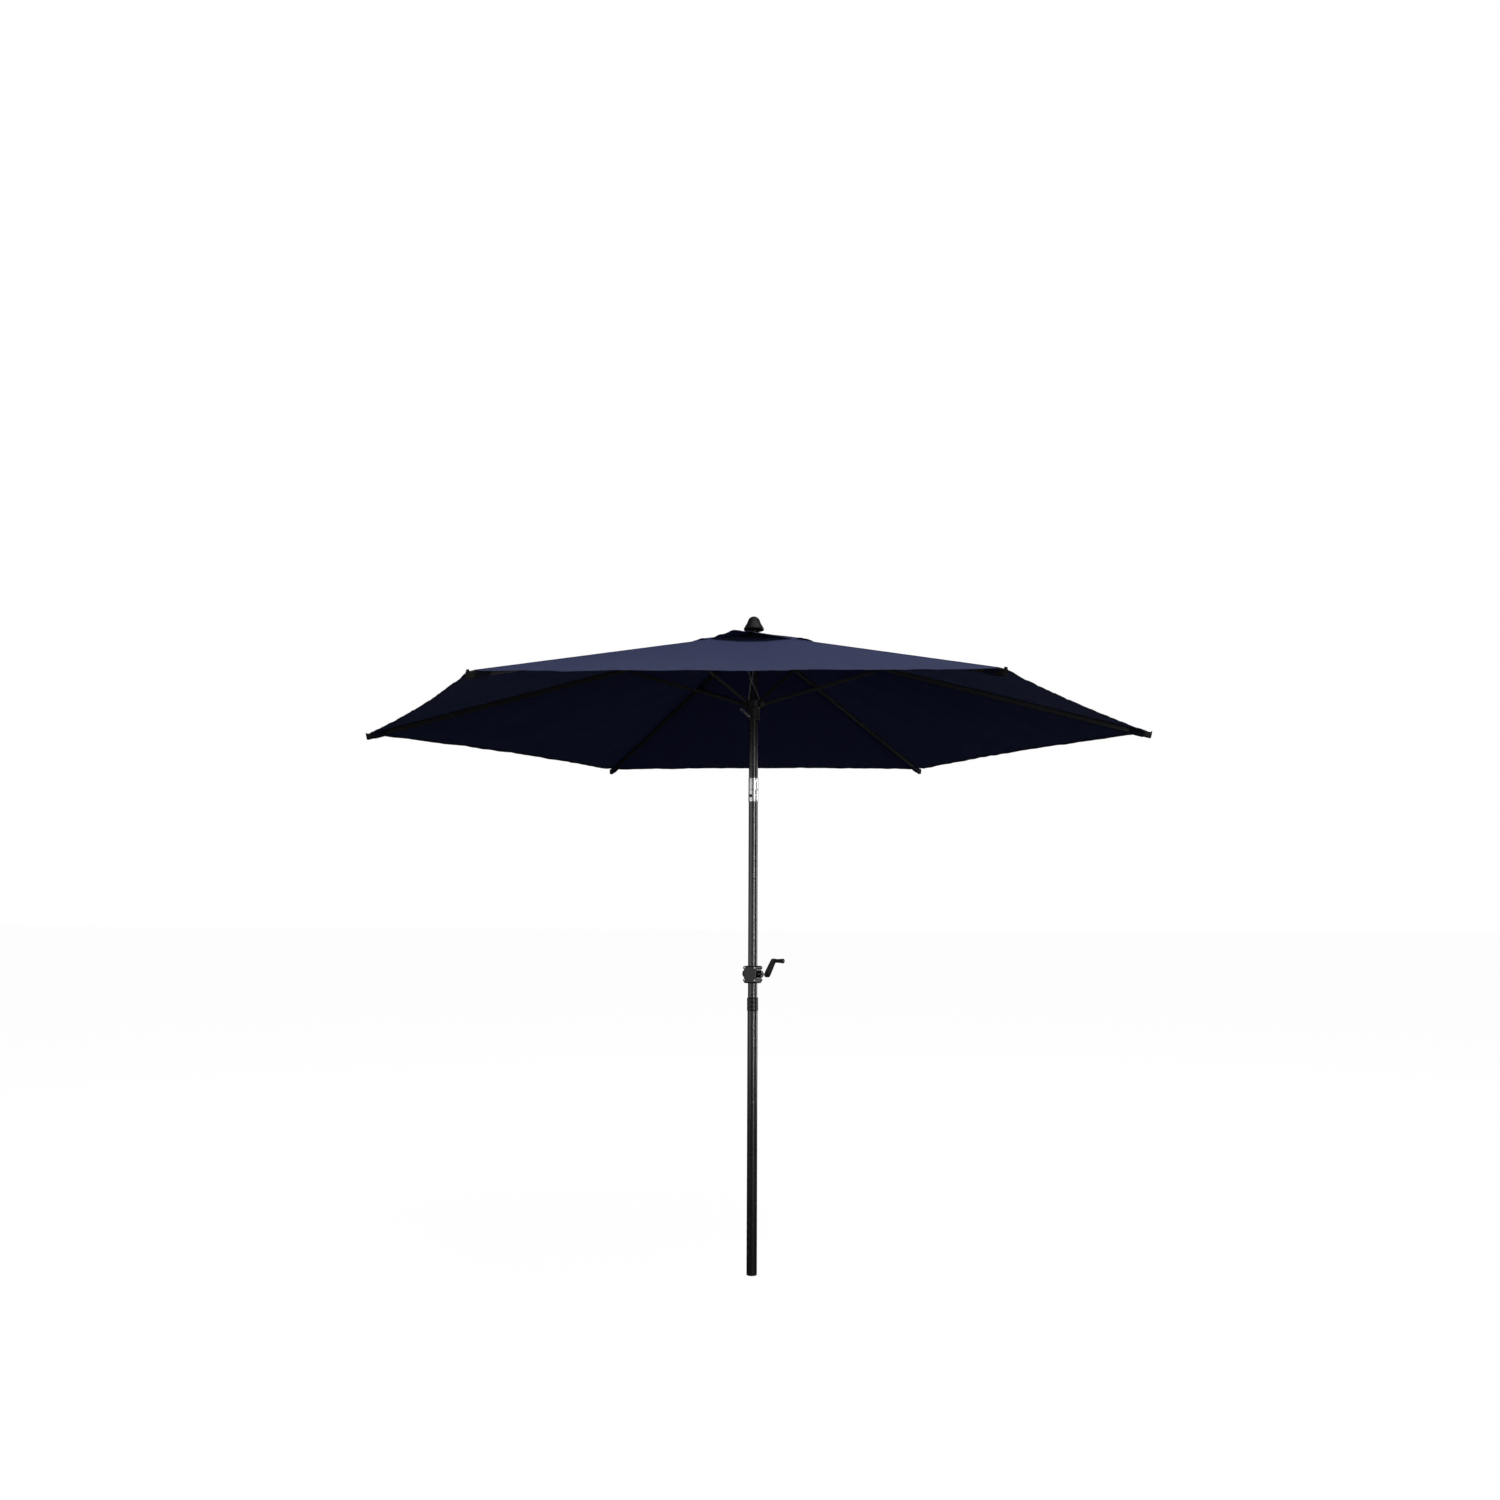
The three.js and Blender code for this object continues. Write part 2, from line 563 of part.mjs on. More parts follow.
function addTiltJoint() {
  const group = turnedGroup(side, tiltHeight);
  const end = tiltHalfLength + spigotLength;
  const rivetHole = rod('x', tiltRivet + gap, -2 * tiltRadius, 2 * tiltRadius);
  const barrel = rod('z', tiltRadius, -end, end, roundSides);

  const far = 3 * tiltRadius;
  const ears = bothSides((s) => mirroredRod(earRadius, s, earInner, tiltRadius)).intersect(barrel);
  const pocket = rod('y', buttonRadius + gap, -2 * tiltRadius, -buttonPocketEnd, 16)
    .translate([0, 0, -buttonDrop]);
  const lower = cut(
    joined(
      rod('z', tiltRadius, -tiltHalfLength, -gap / 2, roundSides).subtract(tiltRelief(false)),
      rod('z', spigotRadius, -end, -tiltHalfLength, roundSides),
      ears,
    ),
    rod('z', skirtBore, -skirtDepth, 2 * skirtDepth, roundSides).subtract(bothSides((s) => (
      box(Math.min(s * earInner, s * far), Math.max(s * earInner, s * far), -far, far, -far, far)))),
    rod('z', cordBore, -2 * end, 0),
    rod('z', spigotBore, -2 * end, -tiltHalfLength - spigotWebs, roundSides),
    rivetHole,
    pocket,
  );
  piece(group, 'tilt_lower_sleeve', lower, silver);

  const earRoom = bothSides((s) => mirroredRod(earRadius + hingePlay, s, cheekOuter + earPlay / 4, far));
  const cheeks = bothSides((s) => {
    const outline = new THREE.Shape();
    outline.moveTo(-cheekRadius, skirtDepth + gap);
    outline.lineTo(-cheekRadius, 0);
    outline.absarc(0, 0, cheekRadius, Math.PI, 2 * Math.PI, false);
    outline.lineTo(cheekRadius, skirtDepth + gap);
    const sheet = plate(outline, cheekOuter - cheekInner).rotate([0, 0, 90]);
    return sheet.translate([s * (cheekOuter + cheekInner) / 2, 0, 0]);
  });
  const upperSkirt = cut(
    rod('z', tiltRadius, gap / 2, tiltHalfLength, roundSides),
    tiltRelief(true),
    earRoom,
    rod('z', skirtBore, -skirtDepth, skirtDepth, roundSides),
  );
  const upper = cut(
    joined(upperSkirt, cheeks, rod('z', spigotRadius, tiltHalfLength, end, roundSides)),
    rod('z', cordBore, 0, 2 * end),
    rod('z', spigotBore, tiltHalfLength + spigotWebs, 2 * end, roundSides),
    rivetHole,
  );
  piece(group, 'tilt_upper_knuckle', upper, silver);

  for (const [name, s] of [['tilt_rivet_right', 1], ['tilt_rivet_left', -1]]) {
    piece(group, name, mirroredRod(tiltRivet, s, cheekInner + gap, tiltRadius - gap, smallSides), steel);
  }

  // the button's face is round like the barrel, so that the runner slides over it
  const back = buttonLength - tiltRadius - buttonProud;
  const button = rod('y', buttonRadius, -far, back, 16).translate([0, 0, -buttonDrop])
    .intersect(rod('z', tiltRadius + buttonProud, -tiltHalfLength, 0, roundSides));
  piece(group, 'tilt_button', button, plastic);
  const springEnds = [back + gap, -buttonPocketEnd - gap];
  const coil = pipe(buttonSpringRadius, buttonSpringRadius - buttonSpringWall, ...springEnds, smallSides)
    .rotate([-90, 0, 0])
    .translate([0, 0, -buttonDrop]);
  piece(group, 'tilt_spring', coil, steel);
}

// ---- upper pole, hub, pulley, finial and vent cap ----

function addUpperPole() {
  const bottom = tiltHeight + tiltHalfLength + gap;
  piece(umbrella, 'upper_pole', pipe(upperPoleRadius, midPoleInner, bottom, poleTop), paint);
}

// Slots for lugs of a given thickness, open outwards, above and below.
function lugSlots(thickness, fromRadius, toRadius, low, high) {
  const half = thickness / 2 + slotPlay;
  const slots = [];
  for (let i = 0; i < ribCount; i += 1) {
    slots.push(box(fromRadius, toRadius, -half, half, low, high).rotate([0, 0, (360 / ribCount) * i]));
  }
  return joined(...slots);
}

function addHub() {
  const group = turnedGroup(0, hubPivotHeight);
  const socket = upperPoleRadius + hubSocketWall;
  const body = joined(
    rod('z', socket, -hubSocketFloor - hubSocketDepth, 0, roundSides),
    rod('z', hubFlangeRadius, -hubFlangeBelow, hubFlangeAbove, 2 * roundSides),
    rod('z', hubCoreRadius, -hubFlangeBelow, hubTop, roundSides),
    rod('z', postRadius, hubTop - 1, hubTop + postLength, smallSides),
  );
  const slotInner = hubPivotRadius - lugRadius - lugClear;
  const pulleySlot = box(
    -pulleyWidth / 2 - hingePlay, pulleyWidth / 2 + hingePlay,
    -pulleyRadius - pulleyFlange - cordRadius, 2 * cordRadius + hingePlay,
    -hubSocketFloor - hubSocketDepth / 2, hubTop - hubPlate,
  );
  const hub = cut(
    body,
    rod('z', upperPoleRadius + gap, -hubPivotHeight, -hubSocketFloor + gap, roundSides),
    lugSlots(lugThickness, slotInner, 2 * hubFlangeRadius, -hubFlangeBelow - 1, hubFlangeAbove + 1),
    hexRing(ringWire + hingePlay, 0),
    pulleySlot,
    rod('x', pulleyPin + gap, -pulleyPinHalf - gap, pulleyPinHalf + gap)
      .translate([0, -pulleyRadius, pulleyUp]),
  );
  piece(group, 'top_hub', hub, plastic);
  piece(group, 'hub_hinge_ring', hexRing(ringWire, 0), steel);

  const half = pulleyWidth / 2;
  const groove = pulleyRadius - cordRadius - gap;
  const wheel = turned([
    [pulleyPin + gap, -half], [pulleyFlange, -half], [groove, -half + pulleyRim],
    [groove, half - pulleyRim], [pulleyFlange, half], [pulleyPin + gap, half],
  ]).rotate([0, 90, 0]).translate([0, -pulleyRadius, pulleyUp]);
  piece(group, 'top_pulley', wheel, plastic);
  const pin = rod('x', pulleyPin, -pulleyPinHalf, pulleyPinHalf).translate([0, -pulleyRadius, pulleyUp]);
  piece(group, 'pulley_pin', pin, steel);
}

function addFinial() {
  const group = turnedGroup(0, hubPivotHeight + finialBase);
  const bore = postRadius + gap;
  const boreTop = hubTop + postLength - finialBase + gap;
  // a bell: a flared foot, a hollow flank and a round crown
  const profile = [
    [bore, 0], [finialRadius, 0], [finialRadius + 0.5, finialHeight * 0.09],
    [finialRadius * 0.94, finialHeight * 0.25], [finialRadius * 0.77, finialHeight * 0.43],
    [finialRadius * 0.63, finialHeight * 0.62], [finialRadius * 0.56, finialHeight * 0.75],
    [finialRadius * 0.43, finialHeight * 0.89], [finialRadius * 0.23, finialHeight * 0.97],
    [0, finialHeight], [0, boreTop], [bore, boreTop],
  ];
  piece(group, 'finial', turned(closedOnAxis(profile)), plastic);
}

// A profile that reaches the axis, started there so that the lathe needs no closing point.
function closedOnAxis(profile) {
  const starts = profile.findIndex(([r], i) => r === 0 && profile[(i + 1) % profile.length][0] > 0);
  return [...profile.slice(starts), ...profile.slice(0, starts)];
}

function addVentCap() {
  const group = turnedGroup(0, hubPivotHeight + finialBase - ventTuck);
  const hem = -ventDrop;
  const lift = ventDrop * (ventHole / ventRadius);
  const cap = turned([
    [ventHole, -lift - ventThickness], [ventRadius, hem - ventThickness],
    [ventRadius, hem], [ventHole, -lift],
  ], ribCount).rotate([0, 0, 180 / ribCount]);
  piece(group, 'vent_cap', cap, navy);
}

// ---- ribs with their brackets, caps and fabric: x runs out along the rib ----

function ribBody() {
  const tube = hollowBar(ribWidth, ribHeight, ribWall, ribChamfer, ribTubeStart, ribEnd);
  const lug = joined(
    rod('y', lugRadius, -lugThickness / 2, lugThickness / 2, 16),
    box(0, ribTubeStart + ribPlug, -lugThickness / 2, lugThickness / 2, -lugRadius, lugRadius),
  );
  const plug = bar(ribWidth - ribWall, ribHeight - ribWall, ribChamfer, ribTubeStart, ribTubeStart + ribPlug);
  const low = ribWall - bracketDrop - strutLugRadius;
  const inner = strutWidth / 2 + slotPlay;
  const ears = bothSides((s) => (
    box(-bracketHalf, bracketHalf, Math.min(s * inner, s * (inner + earPlate)),
      Math.max(s * inner, s * (inner + earPlate)), low, -ribHeight / 2 + ribWall)));
  const rivet = rod('y', strutRivet, -inner - earPlate, inner + earPlate).translate([0, 0, -bracketDrop]);
  const bracket = joined(ears, rivet).translate([bracketAt, 0, 0]);
  const hole = rod('y', ringWire + hingePlay, -lugThickness, lugThickness);
  return joined(tube, lug, plug, bracket).subtract(hole);
}

function capBody() {
  const [w, h] = [ribWidth + 2 * gap, ribHeight + 2 * gap];
  const outer = bar(w + 2 * capWall, h + 2 * capWall, capCorner, capStart, ribLength);
  const lip = box(ribLength - capLipWall, ribLength, -w / 2, w / 2, h / 2, h / 2 + capWall + capLip);
  const cavity = bar(w, h, ribChamfer, capStart - 1, ribLength - capEndWall);
  return joined(outer, lip).subtract(cavity);
}

// A panel is flat and spans two ribs, from the opening at the top to its curved hem.
// Its outline is drawn from above, with x along the panel's middle.
function panelBody() {
  const half = Math.PI / ribCount;
  const [cos, sin] = [Math.cos(half), Math.sin(half)];
  const corner = hubPivotRadius + (capStart - capWall) * Math.cos(ribSlope);
  const hem = (y) => tipRadius * cos - scallop * (1 - (y / (tipRadius * sin)) ** 2);
  const seam = (x) => (x * sin - gap) / cos;
  const widest = seam(corner * cos);
  const points = [[canopyOpening * cos, seam(canopyOpening * cos)], [corner * cos, widest]];
  for (let i = scallopSteps; i >= 0; i -= 1) {
    const y = widest * (2 * i / scallopSteps - 1) * 0.97;
    points.push([hem(y), y]);
  }
  points.push([corner * cos, -widest], [canopyOpening * cos, -seam(canopyOpening * cos)]);
  const outline = new THREE.Shape(points.map(([x, y]) => new THREE.Vector2(x, y)));
  const flat = new THREE.ExtrudeGeometry(outline, { depth: canopyThickness, bevelEnabled: false });
  const place = flat.attributes.position;
  const base = hubPivotHeight + (ribHeight / 2 + canopyLift) / Math.cos(ribSlope);
  for (let i = 0; i < place.count; i += 1) {
    const fall = Math.tan(ribSlope) * (place.getX(i) / cos - hubPivotRadius);
    place.setZ(i, base - fall + place.getZ(i));
  }
  return solid(flat);
}

function addRibs() {
  const rib = ribBody();
  const cap = capBody();
  const panel = panelBody();
  const strut = strutBody();
  const step = 2 * Math.PI / ribCount;
  for (let i = 0; i < ribCount; i += 1) {
    const sector = turnedGroup(step * i);
    const sloped = new THREE.Group();
    sloped.position.set(hubPivotRadius, 0, hubPivotHeight);
    sloped.rotation.y = ribSlope;
    sector.add(sloped);
    piece(sloped, `rib_${i + 1}`, rib, paint);
    piece(sloped, `rib_tip_cap_${i + 1}`, cap, plastic);
    piece(turnedGroup(step * (i + 0.5)), `canopy_panel_${i + 1}`, panel, navy);
    const stay = piece(sector, `strut_${i + 1}`, strut, paint);
    stay.position.set(runnerPivotRadius, 0, runnerPivotHeight);
    stay.rotation.y = -strutAngle;
  }
}

// ---- struts and runner ----

function strutBody() {
  const lugs = [];
  for (const x of [0, strutLength]) {
    lugs.push(rod('y', strutLugRadius, -strutWidth / 2, strutWidth / 2, 16).translate([x, 0, 0]));
  }
  const ends = [strutPlug, strutLength - strutPlug];
  const tube = hollowBar(strutWidth, strutHeight, strutWall, strutChamfer, ...ends);
  const plugs = [[0, 2 * strutPlug], [strutLength - 2 * strutPlug, strutLength]].map(([from, to]) => (
    bar(strutWidth, strutHeight - strutWall / 2, strutChamfer, from, to)));
  // the drain hole lets water out of the closed tube
  const drain = rod('z', drainRadius, -strutHeight, 0, 8).translate([strutLength / 4, 0, 0]);
  const holes = [drain];
  for (const x of [0, strutLength]) {
    holes.push(rod('y', strutRivet + hingePlay, -strutWidth, strutWidth).translate([x, 0, 0]));
  }
  return cut(joined(tube, ...lugs, ...plugs), ...holes);
}

function addRunner() {
  const group = turnedGroup(0, runnerPivotHeight);
  const wall = runnerBore + runnerWall;
  const topRim = Math.max(wall, cordOutside - runnerCordSeat);
  const body = joined(
    rod('z', wall, -runnerBelow, runnerFlangeHalf, roundSides),
    rod('z', topRim, 0, runnerFlangeHalf + 1, roundSides),
    rod('z', runnerFlangeRadius, -runnerFlangeHalf, runnerFlangeHalf, 2 * roundSides),
    rod('z', wall + runnerFootRim, -runnerBelow, -runnerBelow + runnerFootHeight, roundSides),
  );
  const slotInner = runnerPivotRadius - strutLugRadius - lugClear;
  const runner = cut(
    body,
    rod('z', runnerBore, -2 * runnerBelow, 2 * runnerBelow, roundSides),
    lugSlots(strutWidth, slotInner, 2 * runnerFlangeRadius, -runnerFlangeHalf - 1, runnerFlangeHalf + 1),
  );
  piece(group, 'runner', runner, plastic);
}

// ---- lifting cord: drum, up inside the poles, over the pulley, down to the runner ----

function addCord() {
  const lowerGroup = turnedGroup(side, crankHeight);
  const leave = drumRadius + cordRadius;
  const [start, end] = [drumRadius + cordRadius, tiltHeight - crankHeight - 1];
  const route = new THREE.LineCurve3(new THREE.Vector3(0, -leave, start), new THREE.Vector3(0, 0, end));
  const section = new THREE.Shape().absarc(0, 0, cordRadius, 0, 2 * Math.PI, false);
  const settings = { steps: 4, curveSegments: 8, bevelEnabled: false, extrudePath: route };
  piece(lowerGroup, 'lift_cord_lower', solid(new THREE.ExtrudeGeometry(section, settings)), cordGrey);

  const pulleyHeight = hubPivotHeight + pulleyUp;
  const over = [];
  for (let i = 0; i <= 10; i += 1) {
    const turn = (i / 10) * Math.PI;
    const [across, up] = [pulleyRadius * Math.cos(turn), pulleyRadius * Math.sin(turn)];
    over.push(new THREE.Vector3(0, across - pulleyRadius, up));
  }
  const arc = new THREE.CatmullRomCurve3(over);
  const bend = new THREE.ExtrudeGeometry(section, { ...settings, steps: 10, extrudePath: arc });
  const leaveHub = hubPivotHeight - hubFlangeBelow - 5;
  const upper = joined(
    rod('z', cordRadius, tiltHeight + 1, pulleyHeight + 0.2, 8),
    solid(bend).translate([0, 0, pulleyHeight]),
    rod('z', cordRadius, leaveHub, pulleyHeight + 0.2, 8).translate([0, -cordOutside, 0]),
  );
  piece(umbrella, 'lift_cord_upper', upper, cordGrey);
  const tied = runnerPivotHeight + runnerFlangeHalf + 1 + gap;
  const drop = rod('z', cordRadius, tied, leaveHub - gap, 8).translate([0, -cordOutside, 0]);
  piece(umbrella, 'lift_cord_outer', drop, cordGrey);
}

addLowerPole();
addSnapButton();
addMidPole();
addCrank();
addTiltJoint();
addUpperPole();
addHub();
addFinial();
addVentCap();
addRibs();
addRunner();
addCord();

export default umbrella;
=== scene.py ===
import json
import math

import bmesh
import bpy
from mathutils import Matrix, Vector, noise


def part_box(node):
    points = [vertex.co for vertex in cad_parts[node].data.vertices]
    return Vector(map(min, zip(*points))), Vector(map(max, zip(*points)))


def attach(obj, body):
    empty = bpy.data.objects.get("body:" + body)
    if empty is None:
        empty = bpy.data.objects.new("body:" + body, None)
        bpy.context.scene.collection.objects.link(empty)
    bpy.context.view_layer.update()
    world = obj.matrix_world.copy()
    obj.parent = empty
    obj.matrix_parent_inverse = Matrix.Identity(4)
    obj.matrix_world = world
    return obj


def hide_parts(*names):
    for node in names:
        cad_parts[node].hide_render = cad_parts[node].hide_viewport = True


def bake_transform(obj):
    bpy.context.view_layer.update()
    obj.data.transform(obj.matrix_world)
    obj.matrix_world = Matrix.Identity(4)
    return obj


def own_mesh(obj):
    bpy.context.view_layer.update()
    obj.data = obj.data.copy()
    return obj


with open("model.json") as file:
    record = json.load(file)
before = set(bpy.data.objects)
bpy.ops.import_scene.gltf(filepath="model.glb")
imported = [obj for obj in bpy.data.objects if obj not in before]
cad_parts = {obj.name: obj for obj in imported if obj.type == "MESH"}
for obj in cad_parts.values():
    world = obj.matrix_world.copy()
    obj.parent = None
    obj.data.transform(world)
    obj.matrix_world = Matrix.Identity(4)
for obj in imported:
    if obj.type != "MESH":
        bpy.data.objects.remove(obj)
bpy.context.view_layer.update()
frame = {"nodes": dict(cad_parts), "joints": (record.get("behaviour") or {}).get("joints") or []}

mm = 0.001
gap = 0.3  # between pieces that touch, in mm

# where the frame's joints are, in metres
joints = {joint["name"]: joint for joint in frame["joints"]}
ribs = 6
ribStep = math.tau / ribs
ribSlope = math.radians(14.5)  # ribs below the horizontal
hubHinge = Vector(joints["fold"]["pos_m"])  # hinge of the rib that points along +X
strutHinge = Vector(joints["strut_1_pivot"]["pos_m"])
tiltPlace = Vector(joints["tilt"]["pos_m"])
crankPlace = Vector(joints["crank_turn"]["pos_m"])
sideAxis = Vector(joints["tilt"]["axis"])
sideAzimuth = math.atan2(sideAxis.y, sideAxis.x)  # way the crank axle and the tilt axis point
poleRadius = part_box("upper_pole")[1].x / mm
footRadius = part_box("lower_pole")[1].x / mm


def linked(name, data):
    obj = bpy.data.objects.new(name, data)
    bpy.context.scene.collection.objects.link(obj)
    return obj


def newPiece(name, verts, faces, place=None):
    mesh = bpy.data.meshes.new(name)
    mesh.from_pydata([tuple(v) for v in verts], [], faces)
    work = bmesh.new()
    work.from_mesh(mesh)
    bmesh.ops.remove_doubles(work, verts=work.verts, dist=1e-6)
    bmesh.ops.recalc_face_normals(work, faces=work.faces)
    work.to_mesh(mesh)
    work.free()
    if place is not None:
        mesh.transform(place)
    return linked(name, mesh)


def settled(obj):  # modifiers become the mesh
    graph = bpy.context.evaluated_depsgraph_get()
    done = bpy.data.meshes.new_from_object(obj.evaluated_get(graph))
    obj.modifiers.clear()
    obj.data = done
    return obj


def bevelled(obj, width, segments=3, angle=30):
    bevel = obj.modifiers.new("bevel", "BEVEL")
    bevel.width = width * mm
    bevel.segments = segments
    bevel.limit_method = "ANGLE"
    bevel.angle_limit = math.radians(angle)
    return settled(obj)


def combined(obj, others, operation):
    for other in others:
        step = obj.modifiers.new("boolean", "BOOLEAN")
        step.operation = operation
        step.solver = "EXACT"
        step.object = other
    settled(obj)
    for other in others:
        bpy.data.objects.remove(other)
    return obj


def softened(points, radius, closed=True, steps=4):  # round corners on an outline
    made = []
    for i, point in enumerate(points):
        wanted = radius[i] if isinstance(radius, list) else radius
        if wanted == 0 or (not closed and i in (0, len(points) - 1)):
            made.append(tuple(point))
            continue
        here = Vector(point)
        back = Vector(points[i - 1]) - here
        ahead = Vector(points[(i + 1) % len(points)]) - here
        cut = min(wanted, 0.49 * back.length, 0.49 * ahead.length)
        start, end = here + back.normalized() * cut, here + ahead.normalized() * cut
        for k in range(steps + 1):
            t = k / steps
            made.append(tuple(start * (1 - t) ** 2 + here * 2 * t * (1 - t) + end * t * t))
    return made


def lathe(name, profile, segments=72, place=None):  # profile is a list of (radius, height) in mm
    onAxis = profile[0][0] < 1e-6 and profile[-1][0] < 1e-6
    rings = profile[1:-1] if onAxis else profile
    verts, faces = [], []
    for radius, height in rings:
        for k in range(segments):
            turn = math.tau * k / segments
            verts.append((radius * mm * math.cos(turn), radius * mm * math.sin(turn), height * mm))
    for i in range(len(rings) - (1 if onAxis else 0)):
        a, b = i * segments, (i + 1) % len(rings) * segments
        for k in range(segments):
            n = (k + 1) % segments
            faces.append((a + k, a + n, b + n, b + k))
    if onAxis:
        last = (len(rings) - 1) * segments
        verts += [(0, 0, profile[0][1] * mm), (0, 0, profile[-1][1] * mm)]
        for k in range(segments):
            n = (k + 1) % segments
            faces.append((len(verts) - 2, n, k))
            faces.append((len(verts) - 1, last + k, last + n))
    return newPiece(name, verts, faces, place)


def rod(radius, low, high, edge=0.0):  # a lathe's profile for a plain round bar
    shape = [(0, low), (radius, low), (radius, high), (0, high)]
    return softened(shape, edge, closed=False) if edge else shape


def prism(name, outline, low, high, place=None):  # outline in x and y, extruded along z, in mm
    n = len(outline)
    verts = [(x * mm, y * mm, z * mm) for z in (low, high) for x, y in outline]
    faces = [tuple(range(n)), tuple(range(n, 2 * n))]
    faces += [(i, (i + 1) % n, n + (i + 1) % n, n + i) for i in range(n)]
    return newPiece(name, verts, faces, place)


def block(name, x, y, z, place=None):  # from pairs of limits in mm
    outline = [(x[0], y[0]), (x[1], y[0]), (x[1], y[1]), (x[0], y[1])]
    return prism(name, outline, z[0], z[1], place)


def swept(name, path, section, closed=False):
    # section is a list of (across, up) in mm, carried along a path of points in mm
    points = [Vector(p) * mm for p in path]
    n, m = len(points), len(section)
    verts, faces = [], []
    normal = None
    for i, point in enumerate(points):
        before = points[i - 1] if closed or i else point
        after = points[(i + 1) % n] if closed or i < n - 1 else point
        tangent = (after - before).normalized()
        if normal is None:
            normal = tangent.orthogonal() if abs(tangent.z) > 0.9 else tangent.cross(Vector((0, 0, 1)))
        normal = (normal - tangent * normal.dot(tangent)).normalized()
        up = normal.cross(tangent)
        verts += [point + normal * a * mm + up * b * mm for a, b in section]
    for i in range(n if closed else n - 1):
        a, b = i * m, (i + 1) % n * m
        faces += [(a + k, a + (k + 1) % m, b + (k + 1) % m, b + k) for k in range(m)]
    if not closed:
        faces += [tuple(range(m)), tuple(range((n - 1) * m, n * m))]
    return newPiece(name, verts, faces)


def circle(radius, steps=12):
    return [(radius * math.cos(math.tau * k / steps), radius * math.sin(math.tau * k / steps))
            for k in range(steps)]


def arc(centre, radius, start, end, steps):
    return [(centre[0] + radius * math.cos(start + (end - start) * k / steps),
             centre[1] + radius * math.sin(start + (end - start) * k / steps)) for k in range(steps + 1)]


def turnTo(axis):  # a lathe's +z comes to lie along x or y
    return Matrix.Rotation(math.pi / 2, 4, "Y") if axis == "x" else Matrix.Rotation(-math.pi / 2, 4, "X")


def sidePlace(height):  # x along the crank axle, y across it
    return Matrix.Translation((0, 0, height)) @ Matrix.Rotation(sideAzimuth, 4, "Z")


def ribPlace(number):  # x out along the rib from its hinge
    return (Matrix.Rotation(ribStep * number, 4, "Z") @ Matrix.Translation((hubHinge.x, 0, hubHinge.z))
            @ Matrix.Rotation(ribSlope, 4, "Y"))


def smoothed(obj, angle=35):
    mesh = obj.data
    mesh.polygons.foreach_set("use_smooth", [True] * len(mesh.polygons))
    mesh.set_sharp_from_angle(angle=math.radians(angle))
    return obj


def evened(obj):  # large flat faces keep flat shading beside their bevels
    weighted = obj.modifiers.new("normals", "WEIGHTED_NORMAL")
    weighted.keep_sharp = True
    return settled(obj)


def placed(obj, body, material, slot, *nodes, angle=35):  # how every hard piece is finished off
    evened(smoothed(obj, angle))
    obj.data.materials.clear()
    obj.data.materials.append(material)
    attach(obj, body)
    if nodes:
        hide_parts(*nodes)
    return obj


def newGroup(name, values, *outputs):  # one vector and some numbers in, numbers out
    group = bpy.data.node_groups.new(name, "ShaderNodeTree")
    group.interface.new_socket("Vector", in_out="INPUT", socket_type="NodeSocketVector")
    for label, value in values.items():
        socket = group.interface.new_socket(label, in_out="INPUT", socket_type="NodeSocketFloat")
        socket.default_value = value
    for label in outputs:
        group.interface.new_socket(label, in_out="OUTPUT", socket_type="NodeSocketFloat")
    return group, group.nodes.new("NodeGroupInput"), group.nodes.new("NodeGroupOutput")


def node(tree, kind, settings=None, **links):
    made = tree.nodes.new(kind)
    for key, value in (settings or {}).items():
        setattr(made, key, value)
    for key, value in links.items():
        socket = made.inputs[int(key[1:])] if key[0] == "i" and key[1:].isdigit() else made.inputs[key]
        if isinstance(value, bpy.types.NodeSocket):
            tree.links.new(value, socket)
        else:
            socket.default_value = value
    return made


def maths(tree, operation, a, b=0.0, c=0.0):
    return node(tree, "ShaderNodeMath", {"operation": operation}, i0=a, i1=b, i2=c).outputs[0]


def grainGroup():  # moulded or sprayed grain: a height and a slow mottle
    group, given, out = newGroup("grain", {"Fine": 1800.0, "Slow": 9.0}, "Height", "Mottle")
    fine = node(group, "ShaderNodeTexNoise", Vector=given.outputs[0], Scale=given.outputs[1], Detail=2.0)
    slow = node(group, "ShaderNodeTexNoise", Vector=given.outputs[0], Scale=given.outputs[2], Detail=5.0,
                Roughness=0.6)
    group.links.new(fine.outputs[0], out.inputs[0])
    group.links.new(slow.outputs[0], out.inputs[1])
    return group


def wearGroup():  # rubbed edges
    group, given, out = newGroup("wear", {"Amount": 0.5}, "Mask")
    edge = node(group, "ShaderNodeNewGeometry")
    high = node(group, "ShaderNodeMapRange", i0=edge.outputs["Pointiness"], i1=0.52, i2=0.62)
    patchy = node(group, "ShaderNodeTexNoise", Vector=given.outputs[0], Scale=160.0, Detail=6.0)
    broken = node(group, "ShaderNodeMapRange", i0=patchy.outputs[0], i1=0.42, i2=0.62)
    both = maths(group, "MULTIPLY", high.outputs[0], broken.outputs[0])
    group.links.new(maths(group, "MULTIPLY", both, given.outputs[1]), out.inputs[0])
    return group


def dustGroup():  # dust on faces that look up
    group, given, out = newGroup("dust", {"Amount": 0.3}, "Mask")
    facing = node(group, "ShaderNodeNewGeometry")
    parts = node(group, "ShaderNodeSeparateXYZ", Vector=facing.outputs["Normal"])
    up = node(group, "ShaderNodeMapRange", i0=parts.outputs[2], i1=0.3, i2=1.0)
    cloud = node(group, "ShaderNodeTexNoise", Vector=given.outputs[0], Scale=28.0, Detail=8.0, Roughness=0.7)
    soft = node(group, "ShaderNodeMapRange", i0=cloud.outputs[0], i1=0.38, i2=0.72)
    both = maths(group, "MULTIPLY", up.outputs[0], soft.outputs[0])
    group.links.new(maths(group, "MULTIPLY", both, given.outputs[1]), out.inputs[0])
    return group


